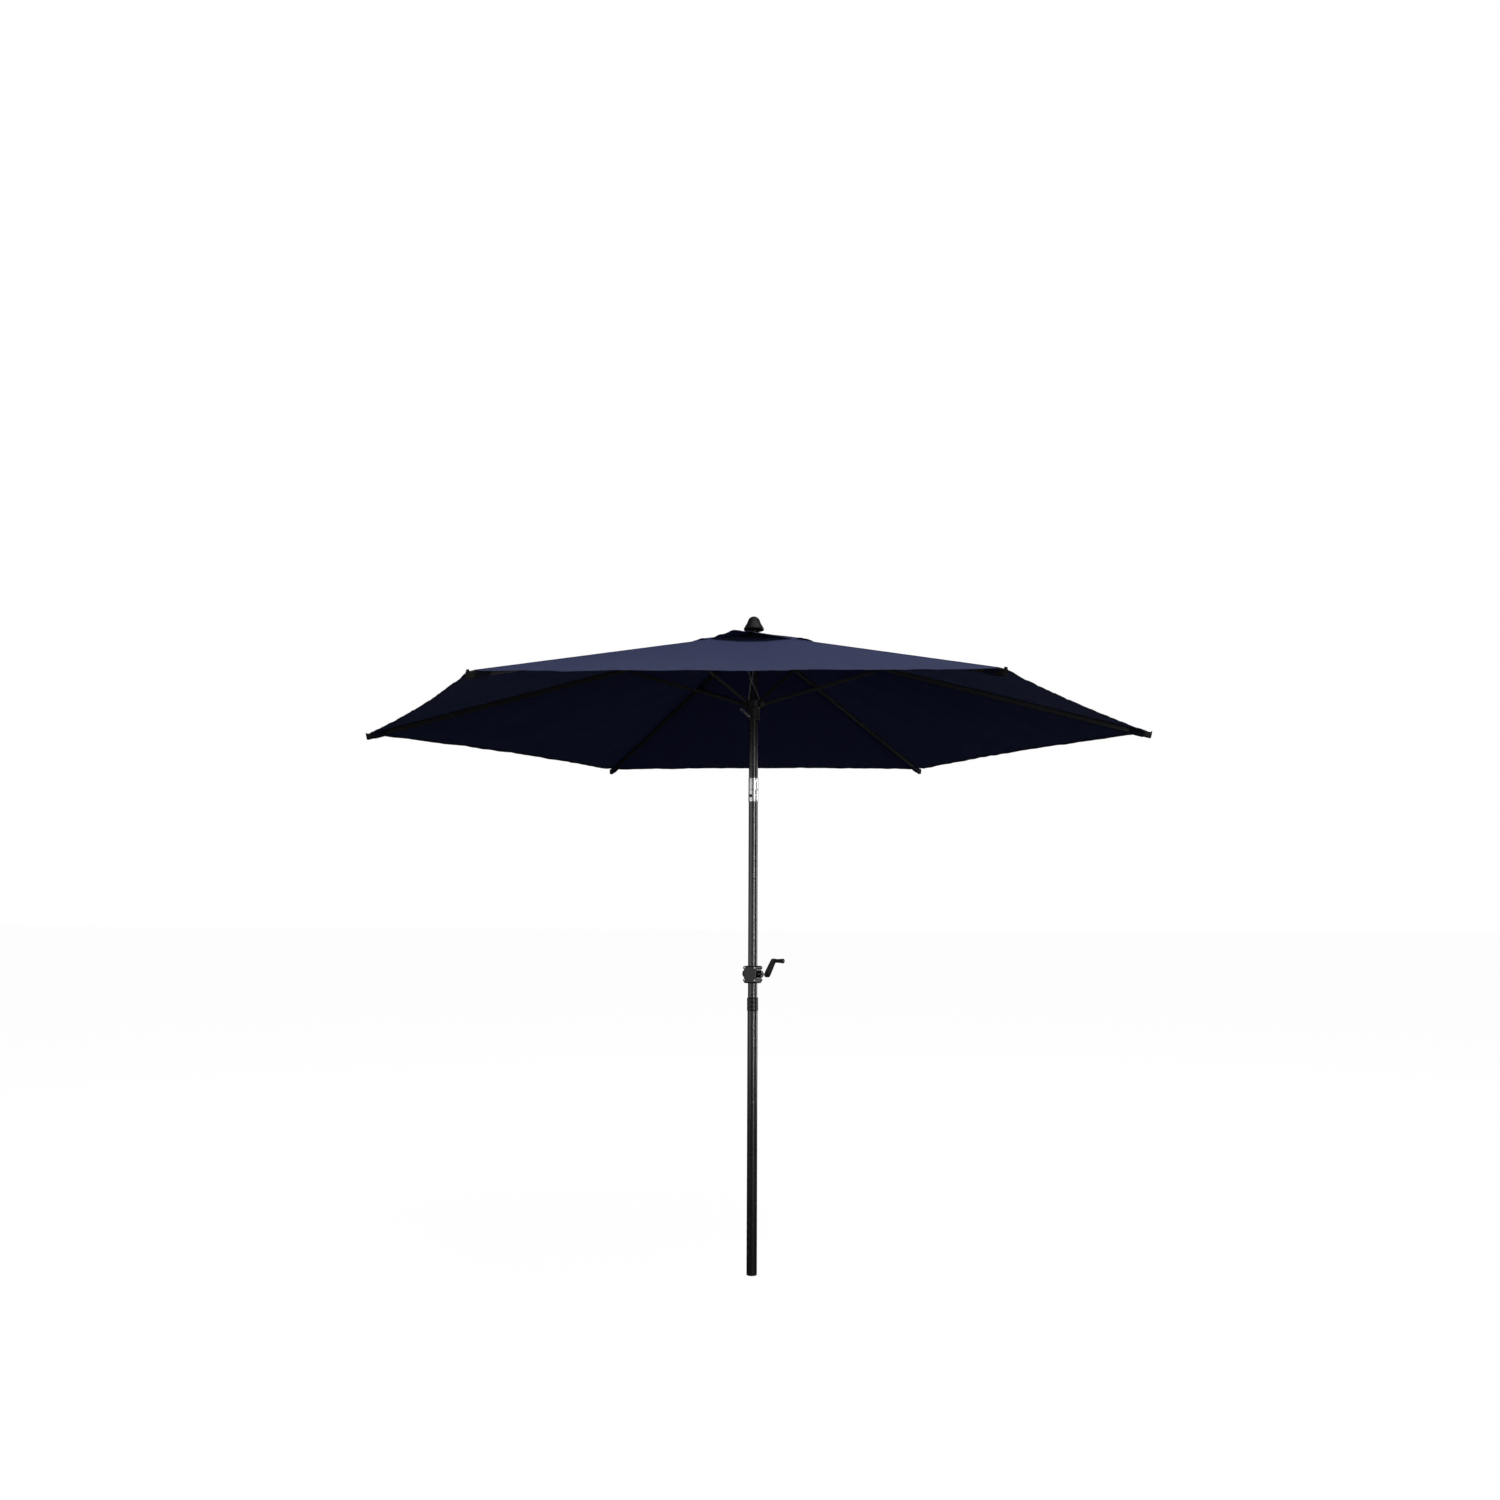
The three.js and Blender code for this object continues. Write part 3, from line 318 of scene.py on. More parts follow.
def weaveGroup():  # plain weave from coordinates in metres: a height and uneven threads
    group, given, out = newGroup("weave", {"Pitch": 0.0006}, "Height", "Threads")
    parts = node(group, "ShaderNodeSeparateXYZ", Vector=given.outputs[0])
    turns = maths(group, "DIVIDE", math.pi, given.outputs[1])
    x = maths(group, "SINE", maths(group, "MULTIPLY", parts.outputs[0], turns))
    y = maths(group, "SINE", maths(group, "MULTIPLY", parts.outputs[1], turns))
    crossing = maths(group, "ABSOLUTE", maths(group, "MULTIPLY", x, y))
    streaks = []
    for stretch in ((900.0, 6.0, 1.0), (6.0, 900.0, 1.0)):
        long = node(group, "ShaderNodeMapping", Vector=given.outputs[0], Scale=stretch)
        streak = node(group, "ShaderNodeTexNoise", Vector=long.outputs[0], Scale=1.0, Detail=2.0)
        streaks.append(streak.outputs[0])
    both = maths(group, "MULTIPLY", maths(group, "ADD", *streaks), 0.5)
    group.links.new(crossing, out.inputs[0])
    group.links.new(both, out.inputs[1])
    return group


def stitchGroup():  # a row of stitches along u at one v, both in metres
    group, given, out = newGroup("stitches", {"Pitch": 0.0035, "Row": 0.008, "Thick": 0.0007}, "Mask")
    parts = node(group, "ShaderNodeSeparateXYZ", Vector=given.outputs[0])
    phase = maths(group, "FRACT", maths(group, "DIVIDE", parts.outputs[0], given.outputs[1]))
    dash = maths(group, "LESS_THAN", maths(group, "ABSOLUTE", maths(group, "SUBTRACT", phase, 0.5)), 0.36)
    away = maths(group, "ABSOLUTE", maths(group, "SUBTRACT", maths(group, "ABSOLUTE", parts.outputs[1]),
                                          given.outputs[2]))
    line = maths(group, "LESS_THAN", away, given.outputs[3])
    group.links.new(maths(group, "MULTIPLY", dash, line), out.inputs[0])
    return group


grain, wear, dust, weave, stitches = grainGroup(), wearGroup(), dustGroup(), weaveGroup(), stitchGroup()


def newMaterial(name, look, coordinates="Object"):
    material = bpy.data.materials.new(name)
    material.use_nodes = True
    tree = material.node_tree
    shader = tree.nodes["Principled BSDF"]
    for socket in ("Metallic", "Coat Weight", "Coat Roughness", "Sheen Weight", "Sheen Roughness",
                   "Sheen Tint", "Specular IOR Level"):
        if socket in look:
            shader.inputs[socket].default_value = look[socket]
    where = node(tree, "ShaderNodeTexCoord").outputs[coordinates]
    return material, tree, shader, where


def useGroup(tree, group, **values):
    made = tree.nodes.new("ShaderNodeGroup")
    made.node_tree = group
    for key, value in values.items():
        if isinstance(value, bpy.types.NodeSocket):
            tree.links.new(value, made.inputs[key])
        else:
            made.inputs[key].default_value = value
    return made.outputs


def mixed(tree, share, first, second):
    made = node(tree, "ShaderNodeMix", {"data_type": "RGBA"}, i0=share)
    for socket, value in ((made.inputs[6], first), (made.inputs[7], second)):
        if isinstance(value, bpy.types.NodeSocket):
            tree.links.new(value, socket)
        else:
            socket.default_value = (*value, 1.0)
    return made.outputs[2]


def ranged(tree, value, low, high):
    return node(tree, "ShaderNodeMapRange", i0=value, i3=low, i4=high).outputs[0]


def bumped(tree, shader, height, distance):
    bump = node(tree, "ShaderNodeBump", Height=height, Distance=distance, Strength=1.0)
    tree.links.new(bump.outputs[0], shader.inputs["Normal"])


def hardMaterial(name, look):  # paint, plastic and metal: grain, mottle, rubbed edges and dust
    material, tree, shader, where = newMaterial(name, look)
    grained = useGroup(tree, grain, Vector=where, Fine=look["fine"], Slow=look["slow"])
    colour = mixed(tree, grained["Mottle"], look["dark"], look["light"])
    worn = useGroup(tree, wear, Vector=where, Amount=look["wear"])
    colour = mixed(tree, worn["Mask"], colour, look["rubbed"])
    dusty = useGroup(tree, dust, Vector=where, Amount=look["dust"])
    colour = mixed(tree, dusty["Mask"], colour, look["dustColour"])
    tree.links.new(colour, shader.inputs["Base Color"])
    rough = ranged(tree, grained["Mottle"], look["roughness"][0], look["roughness"][1])
    tree.links.new(maths(tree, "ADD", rough, maths(tree, "MULTIPLY", dusty["Mask"], 0.3)),
                   shader.inputs["Roughness"])
    bumped(tree, shader, grained["Height"], look["bump"])
    return material


finishes = {
    "powderCoat": {"dark": (0.05, 0.05, 0.053), "light": (0.07, 0.07, 0.073), "rubbed": (0.12, 0.12, 0.12),
                   "dustColour": (0.2, 0.19, 0.175), "roughness": (0.24, 0.30), "Metallic": 0.55,
                   "Coat Weight": 0.35, "Coat Roughness": 0.16, "fine": 1500.0, "slow": 14.0, "wear": 0.35,
                   "dust": 0.12, "bump": 0.000008},
    # a darker copy of the powder coat for the ribs and struts: painted shade, as they sit under the canopy
    "shadedRibPaint": {"dark": (0.012, 0.012, 0.013), "light": (0.020, 0.020, 0.021), "rubbed": (0.06, 0.06, 0.06),
                 "dustColour": (0.08, 0.08, 0.075), "roughness": (0.42, 0.55), "Specular IOR Level": 0.3,
                 "fine": 1500.0, "slow": 14.0, "wear": 0.35, "dust": 0.06, "bump": 0.00006},
    "shell": {"dark": (0.012, 0.012, 0.013), "light": (0.020, 0.020, 0.021), "rubbed": (0.06, 0.06, 0.06),
              "dustColour": (0.12, 0.118, 0.11), "roughness": (0.26, 0.36), "Specular IOR Level": 0.42,
              "fine": 2200.0, "slow": 24.0, "wear": 0.45, "dust": 0.08, "bump": 0.00005},
    # a darker copy of the black plastic for the finial and the rib tip caps: painted shade, so the top-lit
    # finial stays dark
    "shadedDarkPlastic": {"dark": (0.003, 0.003, 0.003), "light": (0.007, 0.007, 0.007),
                    "rubbed": (0.03, 0.03, 0.03), "dustColour": (0.05, 0.05, 0.047),
                    "roughness": (0.42, 0.56), "Specular IOR Level": 0.08, "fine": 2200.0,
                    "slow": 24.0, "wear": 0.4, "dust": 0.04, "bump": 0.00006},
    "tiltMetal": {"dark": (0.50, 0.50, 0.50), "light": (0.60, 0.595, 0.59), "rubbed": (0.75, 0.74, 0.73),
                  "dustColour": (0.3, 0.29, 0.27), "roughness": (0.20, 0.30), "Metallic": 1.0,
                  "fine": 2600.0, "slow": 30.0, "wear": 0.5, "dust": 0.1, "bump": 0.000003},
    "plastic": {"dark": (0.008, 0.008, 0.009), "light": (0.016, 0.016, 0.017), "rubbed": (0.05, 0.05, 0.052),
                "dustColour": (0.10, 0.098, 0.09), "roughness": (0.42, 0.56), "Specular IOR Level": 0.32,
                "fine": 2200.0, "slow": 24.0, "wear": 0.45, "dust": 0.05, "bump": 0.00008},
    "steel": {"dark": (0.42, 0.42, 0.43), "light": (0.62, 0.62, 0.62), "rubbed": (0.75, 0.74, 0.72),
              "dustColour": (0.28, 0.25, 0.22), "roughness": (0.24, 0.42), "Metallic": 1.0,
              "fine": 1800.0, "slow": 60.0, "wear": 0.4, "dust": 0.2, "bump": 0.00004},
}
powderCoat = hardMaterial("powder coat", finishes["powderCoat"])
tiltMetal = hardMaterial("satin tilt metal", finishes["tiltMetal"])
plastic = hardMaterial("moulded plastic", finishes["plastic"])
steel = hardMaterial("zinc steel", finishes["steel"])
# the black plastic painted darker, as painted shade
shadedDarkPlastic = hardMaterial("dark plastic darkened as painted shade", finishes["shadedDarkPlastic"])
# ribs and struts: the same powder coat painted darker, as painted shade
shadedRibPaint = hardMaterial("rib powder coat darkened as painted shade", finishes["shadedRibPaint"])
shell = hardMaterial("satin shell plastic", finishes["shell"])


def clothMaterial(name, look, rows=()):
    material, tree, shader, where = newMaterial(name, look, "UV")
    woven = useGroup(tree, weave, Vector=where, Pitch=look["pitch"])
    body = node(tree, "ShaderNodeTexCoord").outputs["Object"]
    fade = node(tree, "ShaderNodeTexNoise", Vector=body, Scale=look["patches"], Detail=6.0, Roughness=0.55)
    colour = mixed(tree, ranged(tree, woven["Threads"], 0.2, 0.8), look["dark"], look["light"])
    colour = mixed(tree, maths(tree, "MULTIPLY", fade.outputs[0], look["fading"]), colour, look["faded"])
    dusty = useGroup(tree, dust, Vector=body, Amount=look["dust"])
    colour = mixed(tree, dusty["Mask"], colour, look["dustColour"])
    height = woven["Height"]
    for row in rows:
        sewn = useGroup(tree, stitches, Vector=where, Row=row)
        colour = mixed(tree, sewn["Mask"], colour, look["thread"])
        height = maths(tree, "ADD", height, maths(tree, "MULTIPLY", sewn["Mask"], 2.0))
    under = node(tree, "ShaderNodeNewGeometry").outputs["Backfacing"]  # the underside is painted: a darker, bluer colour as painted shade, and a faint painted glow standing in for daylight that comes through the cloth
    colour = mixed(tree, maths(tree, "MULTIPLY", under, 0.8), colour, look["under"])
    tree.links.new(colour, shader.inputs["Base Color"])
    # painted glow: the underside gives off a faint blue light in place of daylight through the cloth; it is
    # no lamp
    tree.links.new(mixed(tree, under, (0.0, 0.0, 0.0), look["paintedGlow"]), shader.inputs["Emission Color"])
    shader.inputs["Emission Strength"].default_value = 1.0
    tree.links.new(ranged(tree, woven["Threads"], 0.72, 0.9), shader.inputs["Roughness"])
    bumped(tree, shader, height, look["bump"])
    return material


# the underside colour is painted shade, darker and bluer than the outside; the emission colour beside it is a
# painted glow for daylight through the cloth
clothLook = {"dark": (0.006, 0.008, 0.032), "light": (0.011, 0.014, 0.046), "faded": (0.019, 0.024, 0.058),
             "fading": 0.4, "patches": 2.2, "thread": (0.03, 0.038, 0.08), "dustColour": (0.06, 0.062, 0.07),
             "under": (0.003, 0.003, 0.050), "paintedGlow": (0.0004, 0.0006, 0.0032), "dust": 0.08,
             "pitch": 0.0007, "bump": 0.00012, "Sheen Weight": 0.42, "Sheen Roughness": 0.35,
             "Sheen Tint": (0.28, 0.36, 0.80, 1.0), "Specular IOR Level": 0.12}
cloth = clothMaterial("navy cloth", clothLook)
hemCloth = clothMaterial("navy cloth hem", {**clothLook, "dark": (0.009, 0.012, 0.036)},
                         rows=(0.0078, 0.0022))
# the vent flaps and crown use a darker copy of the navy cloth: painted shade on the vent
ventClothPaintedShade = clothMaterial("navy vent cloth painted darker as shade", {**clothLook, "light": (0.008, 0.010, 0.034)})


def cordMaterial(look):  # braid runs both ways round the cord; u is metres along it and v once round
    material, tree, shader, where = newMaterial("braided cord", look, "UV")
    parts = node(tree, "ShaderNodeSeparateXYZ", Vector=where)
    along = maths(tree, "MULTIPLY", parts.outputs[0], math.tau / look["braid"])
    around = maths(tree, "MULTIPLY", parts.outputs[1], math.tau * look["strands"])
    one = maths(tree, "SINE", maths(tree, "ADD", along, around))
    other = maths(tree, "SINE", maths(tree, "SUBTRACT", along, around))
    height = maths(tree, "MAXIMUM", one, other)
    colour = mixed(tree, ranged(tree, height, 0.0, 1.0), look["dark"], look["light"])
    tree.links.new(colour, shader.inputs["Base Color"])
    tree.links.new(ranged(tree, height, 0.9, 0.7), shader.inputs["Roughness"])
    bumped(tree, shader, height, look["bump"])
    return material


cordLook = {"dark": (0.55, 0.55, 0.56), "light": (0.88, 0.88, 0.90), "braid": 0.004, "strands": 4,
            "bump": 0.0003, "Sheen Weight": 0.3}
cordCloth = cordMaterial(cordLook)
print("materials done")


poles = {"wall": 1.2, "lip": 0.5, "snapRadius": 4.0, "axleRadius": 4.0, "capFloor": 3.0}


def poleTube(name, node, radius, body, holes=()):
    low, high = (corner.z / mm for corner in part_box(node))
    inner = radius - poles["wall"]
    outline = softened([(inner, low), (radius, low), (radius, high), (inner, high)], poles["lip"])
    tube = lathe(name, outline, 96)
    if holes:
        combined(tube, holes, "DIFFERENCE")
    return placed(tube, body, powderCoat, "powder_coat", node)


snapLow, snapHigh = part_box("snap_button")
snapHeight = (snapLow.z + snapHigh.z) / 2 / mm


def snapHole():
    place = Matrix.Translation((0, 0, snapHeight * mm)) @ turnTo("y")
    return lathe("hole", rod(poles["snapRadius"] + gap, 0, 2 * footRadius), 48, place)


def axleHole():
    return lathe("hole", rod(poles["axleRadius"] + 0.5, -40, 40), 48, sidePlace(crankPlace.z) @ turnTo("x"))


def makePoles():
    poleTube("lower_pole_tube", "lower_pole", footRadius, "base_pole", [snapHole()])
    poleTube("mid_pole_tube", "mid_pole", poleRadius, "base_pole", [snapHole(), axleHole()])
    poleTube("upper_pole_tube", "upper_pole", poleRadius, "upper_pole")

    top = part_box("pole_foot_cap")[1].z / mm
    plug = footRadius - poles["wall"] - gap
    floor = poles["capFloor"]
    cap = softened([(0, 0.6), (6, 0.6), (7.5, 0), (footRadius, 0), (footRadius, floor), (plug, floor),
                    (plug, top), (plug - 2.5, top), (plug - 2.5, floor + gap), (0, floor + gap)], 0.8,
                   closed=False)
    placed(lathe("foot_cap", cap), "base_pole", plastic, "black_plastic", "pole_foot_cap")

    low, high = (corner.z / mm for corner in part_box("joint_collar"))
    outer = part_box("joint_collar")[1].x / mm
    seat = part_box("lower_pole")[1].z / mm + gap
    outline = [(outer - 0.8, low), (outer, low + 2)]
    for ring in (low + 13, high - 18):
        outline += [(outer, ring), (outer - 0.7, ring + 0.8), (outer - 0.7, ring + 3.2), (outer, ring + 4)]
    outline += [(outer, high - 4), (poleRadius + 1.2, high), (poleRadius + gap, high),
                (poleRadius + gap, seat), (footRadius + gap, seat), (footRadius + gap, low)]
    placed(lathe("collar", softened(outline, 0.7), 96), "base_pole", shell, "black_plastic", "joint_collar")

    inner, outer = snapLow.y / mm, snapHigh.y / mm
    button = [(0, inner), (6, inner), (6, inner + 3), (4, inner + 3), (4, outer - 1.4), (3.2, outer - 0.4),
              (1.8, outer), (0, outer)]
    place = Matrix.Translation((0, 0, snapHeight * mm)) @ turnTo("y")
    placed(lathe("snap_pin", softened(button, 0.5, closed=False), 48, place), "snap_button", steel, "steel",
           "snap_button")


makePoles()
print("poles done")


crank = {"halfLength": 27.0, "halfDepth": 21.0, "below": 34.0, "above": 30.0, "corner": 4.0, "edge": 5.0,
         "boss": 13.0, "bossBlind": -39.0, "bossOpen": 42.0, "screwAlong": 22.8, "screwUp": 23.0,
         "screwBoss": 6.0, "screwBossDepth": 23.5, "screwHead": 4.2, "armStart": 58.0, "armEnd": 70.0,
         "armReach": 91.0, "throw": 51.0, "hub": 10.6, "tip": 8.0, "thick": 13.0, "grip": 45.0}
screwPlaces = [(x, z) for x in (-crank["screwAlong"], crank["screwAlong"])
               for z in (-crank["screwUp"], crank["screwUp"])]


def leverOutline(x0, y0, r0, x1, y1, r1):  # round both ends, with straight sides between
    steps = 14
    along = math.atan2(y1 - y0, x1 - x0)
    lean = math.acos((r0 - r1) / math.hypot(x1 - x0, y1 - y0))
    return (arc((x0, y0), r0, along + lean, along - lean + math.tau, steps)
            + arc((x1, y1), r1, along - lean, along + lean, steps))


def housingBody():
    size = crank
    outline = softened([(size["halfLength"], -size["halfDepth"]), (size["halfLength"], size["halfDepth"]),
                        (-size["halfLength"], size["halfDepth"]), (-size["halfLength"], -size["halfDepth"])],
                       size["corner"], steps=8)
    rings = []
    for k in range(6):  # a round edge below and above
        turn = k / 5 * math.pi / 2
        inset = size["edge"] * (1 - math.sin(turn))
        rings.append((-size["below"] + size["edge"] * (1 - math.cos(turn)), inset))
    rings += [(size["above"] - (z + size["below"]), inset) for z, inset in reversed(rings)]
    verts, faces = [], []
    for z, inset in rings:
        for x, y in outline:
            share = 1 - inset / math.hypot(x, y)
            verts.append((x * share * mm, y * share * mm, z * mm))
    n = len(outline)
    for i in range(len(rings) - 1):
        a, b = i * n, (i + 1) * n
        faces += [(a + k, a + (k + 1) % n, b + (k + 1) % n, b + k) for k in range(n)]
    faces += [tuple(range(n)), tuple(range((len(rings) - 1) * n, len(rings) * n))]
    body = newPiece("housing", verts, faces)
    boss = rod(size["boss"], size["bossBlind"], size["bossOpen"], 2.5)
    parts = [lathe("boss", boss, 64, turnTo("x"))]
    holes = [lathe("hole", rod(poleRadius + gap, -50, 50), 96),
             lathe("hole", rod(4.5, -36.5, 60), 48, turnTo("x"))]
    tower = rod(size["screwBoss"], -size["screwBossDepth"], size["screwBossDepth"], 1.2)
    stepped = [(0, -40), (4.6, -40), (4.6, -20.5), (2.8, -20.5), (2.8, 19.5), (0, 19.5)]
    for x, z in screwPlaces:
        place = Matrix.Translation((x * mm, 0, z * mm)) @ turnTo("y")
        parts.append(lathe("tower", tower, 40, place))
        holes.append(lathe("hole", stepped, 32, place))
    combined(body, parts, "UNION")
    return combined(body, holes, "DIFFERENCE")


def makeCrank():
    size = crank
    place = sidePlace(crankPlace.z)
    whole = housingBody()
    for name, node, limits in (("crank_front_shell", "crank_housing_front", (-60, -0.15)),
                               ("crank_back_shell", "crank_housing_back", (0.15, 60))):
        half = linked(name, whole.data.copy())
        combined(half, [block("half", (-60, 60), limits, (-60, 60))], "INTERSECT")
        bevelled(half, 0.35, 2, 50)
        half.data.transform(place)
        placed(half, "base_pole", shell, "black_plastic", node)
    bpy.data.objects.remove(whole)
    head = size["screwHead"]
    shape = softened([(0, -22.9), (head, -22.4), (head, -20.8), (2.5, -20.8), (2.5, 19.2), (0, 19.2)], 0.4,
                     closed=False)
    for i, (x, z) in enumerate(screwPlaces):
        number = i + 1
        screw = lathe("housing_screw_body_" + str(number), shape, 40, turnTo("y"))
        cross = [block("slot", (-2.4, 2.4), (-26, -21.6), (-0.5, 0.5)),
                 block("slot", (-0.5, 0.5), (-26, -21.6), (-2.4, 2.4))]
        for slot in cross:
            slot.data.transform(Matrix.Rotation(0.7 * number, 4, "Y"))
        combined(screw, cross, "DIFFERENCE")
        screw.data.transform(place @ Matrix.Translation((x * mm, 0, z * mm)))
        placed(screw, "base_pole", steel, "steel", "housing_screw_" + str(number))

    axle = lathe("crank_shaft", rod(4, -36.2, size["armEnd"] - 3.3, 0.6), 48, place @ turnTo("x"))
    placed(axle, "crank", steel, "steel", "crank_axle")

    middle = (size["armStart"] + size["armEnd"]) / 2
    upright = Matrix.Rotation(math.pi / 2, 4, "X")  # an outline's y becomes z
    outline = leverOutline(middle, 0, size["hub"], size["armReach"], size["throw"], size["tip"])
    arm = prism("crank_lever", outline, -size["thick"] / 2, size["thick"] / 2, upright)
    hub = rod(size["hub"], size["armStart"], size["armEnd"])
    pin = rod(3.5, size["armReach"], size["armReach"] + size["grip"] - 4)
    raised = Matrix.Translation((0, 0, size["throw"] * mm))
    combined(arm, [lathe("hub", hub, 48, turnTo("x")), lathe("pin", pin, 40, raised @ turnTo("x"))], "UNION")
    recess = leverOutline(middle + 8, 9, 4.5, size["armReach"] - 7, size["throw"] - 8, 3.5)
    cuts = [block("back", (0, size["armStart"]), (-30, 30), (-30, 30)),
            lathe("socket", rod(4.3, 0, size["armEnd"] - 3), 40, turnTo("x"))]
    cuts += [prism("recess", recess, side - 1.5, side + 1.5, upright)
             for side in (-size["thick"] / 2, size["thick"] / 2)]
    combined(arm, cuts, "DIFFERENCE")
    bevelled(arm, 1.1, 3, 40)
    arm.data.transform(place)
    placed(arm, "crank", plastic, "black_plastic", "crank_arm")

    start, end = size["armReach"] + size["tip"] + gap, size["armReach"] + size["grip"]
    side = [(7.6, start), (7.6, start + 2), (6.9, start + 3.5), (7.2, end - 18)]
    for k in range(3):  # finger grooves
        ring = end - 16 + 4 * k
        side += [(7.6 + 0.4 * k, ring), (7.9 + 0.4 * k, ring + 2.2), (7.3 + 0.4 * k, ring + 2.9)]
    side += [(9.0, end - 4), (9.0, end - 2.2), (7.2, end - 0.2), (3, end)]
    shape = [(0, end - 3.6), (4.0, end - 3.6), (4.0, start)] + softened(side, 0.8, closed=False) + [(0, end)]
    knob = lathe("crank_grip", shape, 64, place @ raised @ turnTo("x"))
    placed(knob, "crank_knob", plastic, "black_plastic", "crank_knob")


makeCrank()
print("crank done")


tilt = {"radius": 18.7, "halfLength": 45.0, "spigot": 85.0, "skirt": 15.0, "skirtBore": 14.0,
        "earInner": 9.3, "earRadius": 10.0, "cheekIn": 5.2, "cheekOut": 8.9, "cheek": 9.6, "wedge": 16.0,
        "buttonDrop": 23.0, "button": 6.0, "rivet": 3.0, "cordRoom": 5.0}


def wedge(up):  # what is cut from the barrel so that its halves can lean
    far = 3 * tilt["radius"]
    rise = far * math.tan(math.radians(tilt["wedge"]))
    s = 1 if up else -1
    verts = [(x * mm, y * mm, z * mm) for x in (-far, far)
             for y, z in ((0, 0), (far, s * rise), (far, -s * far), (0, -s * far))]
    return newPiece("wedge", verts, [(0, 1, 2, 3), (4, 5, 6, 7), (0, 1, 5, 4), (1, 2, 6, 5), (2, 3, 7, 6),
                                     (3, 0, 4, 7)])


def upright(name, radius, low, high, edge=0.0):
    return lathe(name, rod(radius, low, high, edge), 96)


def sideways(name, radius, low, high):
    return lathe(name, rod(radius, low, high), 48, turnTo("x"))


def makeTilt():
    size = tilt
    place = sidePlace(tiltPlace.z)
    inner = poleRadius - poles["wall"] - gap
    lower = combined(upright("tilt_sleeve", size["radius"], -size["halfLength"], -gap / 2, edge=1.0),
                     [wedge(False)], "DIFFERENCE")
    ears = combined(combined(sideways("ears", size["earRadius"], -30, 30),
                             [sideways("between", 30, -size["earInner"], size["earInner"])], "DIFFERENCE"),
                    [upright("round", size["radius"] - 0.05, -40, 40)], "INTERSECT")
    combined(lower, [ears, upright("spigot", inner, -size["spigot"], -size["halfLength"] + 1)], "UNION")
    room = combined(upright("bore", size["skirtBore"], -size["skirt"], 30),
                    [block("keep", (size["earInner"], 40), (-40, 40), (-40, 40)),
                     block("keep", (-40, -size["earInner"]), (-40, 40), (-40, 40))], "DIFFERENCE")
    button = Matrix.Translation((0, 0, -size["buttonDrop"] * mm)) @ turnTo("y")
    pocket = lathe("pocket", rod(size["button"] + 0.4, -30, -6.6), 48, button)
    cordWay = upright("cord", size["cordRoom"], -100, 5)
    rivetHoles = sideways("rivets", size["rivet"] + gap, -30, 30)
    combined(lower, [room, cordWay, rivetHoles, pocket], "DIFFERENCE")
    bevelled(lower, 0.4, 2, 40)
    lower.data.transform(place)
    placed(lower, "base_pole", tiltMetal, "tilt_metal", "tilt_lower_sleeve")

    upper = combined(upright("tilt_knuckle", size["radius"], gap / 2, size["halfLength"], edge=1.0),
                     [wedge(True), upright("bore", size["skirtBore"], -20, size["skirt"])], "DIFFERENCE")
    earRoom = combined(sideways("room", size["earRadius"] + 0.5, -30, 30),
                       [sideways("between", 30, -9.0, 9.0)], "DIFFERENCE")
    combined(upper, [earRoom], "DIFFERENCE")
    outline = [(-size["cheek"], size["skirt"] + gap)] + arc((0, 0), size["cheek"], math.pi, math.tau, 20)
    outline.append((size["cheek"], size["skirt"] + gap))
    cheeks = []
    for s in (1, -1):
        low, high = sorted((s * size["cheekIn"], s * size["cheekOut"]))
        turned = Matrix(((0, 0, 1, 0), (1, 0, 0, 0), (0, 1, 0, 0), (0, 0, 0, 1)))
        cheeks.append(prism("cheek", outline, low, high, turned))
    combined(upper, [*cheeks, upright("spigot", inner, size["halfLength"] - 1, size["spigot"])], "UNION")
    cordWay = upright("cord", size["cordRoom"], -5, 100)
    rivetHoles = sideways("rivets", size["rivet"] + gap, -30, 30)
    combined(upper, [cordWay, rivetHoles], "DIFFERENCE")
    bevelled(upper, 0.4, 2, 40)
    upper.data.transform(place)
    placed(upper, "upper_pole", tiltMetal, "tilt_metal", "tilt_upper_knuckle")

    for s, name in ((1, "tilt_rivet_right"), (-1, "tilt_rivet_left")):
        wide = size["rivet"]
        profile = softened([(0, 5.6), (wide, 5.6), (wide, 17.6), (2.0, 18.5), (0, 18.6)], 0.5, closed=False)
        turn = place @ Matrix.Rotation(0 if s > 0 else math.pi, 4, "Z") @ turnTo("x")
        placed(lathe(name + "_pin", profile, 40, turn), "base_pole", steel, "steel", name)

    press = lathe("button", rod(size["button"], -19.1, -11.5, 0.5), 64, button)
    ridges = [block("ridge", (-8, 8), (-20, -18.5), (z - 0.5, z + 0.5),
                    Matrix.Translation((0, 0, -size["buttonDrop"] * mm))) for z in (-3, -1, 1, 3)]
    combined(press, ridges, "DIFFERENCE")
    combined(press, [upright("round", size["radius"] + 0.4, -40, 0)], "INTERSECT")
    press.name = "tilt_push_button"
    press.data.transform(place)
    placed(press, "tilt_button", plastic, "black_plastic", "tilt_button")

    turns, steps = 3, 20
    coil = [(3.2 * math.cos(math.tau * k / steps), -10.8 + 3.6 * k / (turns * steps),
             3.2 * math.sin(math.tau * k / steps) - size["buttonDrop"]) for k in range(turns * steps + 1)]
    coil = swept("tilt_spring_coil", coil, circle(0.45, 10))
    coil.data.transform(place)
    placed(coil, "base_pole", steel, "steel", "tilt_spring")


makeTilt()
print("tilt joint done")


hub = {"flange": 58.0, "above": 11.0, "below": 9.5, "core": 32.0, "top": 24.0, "socket": 21.7,
       "socketLow": -38.0, "post": 5.0, "postTop": 62.0, "lug": 8.0, "play": 0.6, "slotInner": 36.5,
       "ringWire": 2.0, "corner": 4.0, "finialWide": 39.0}


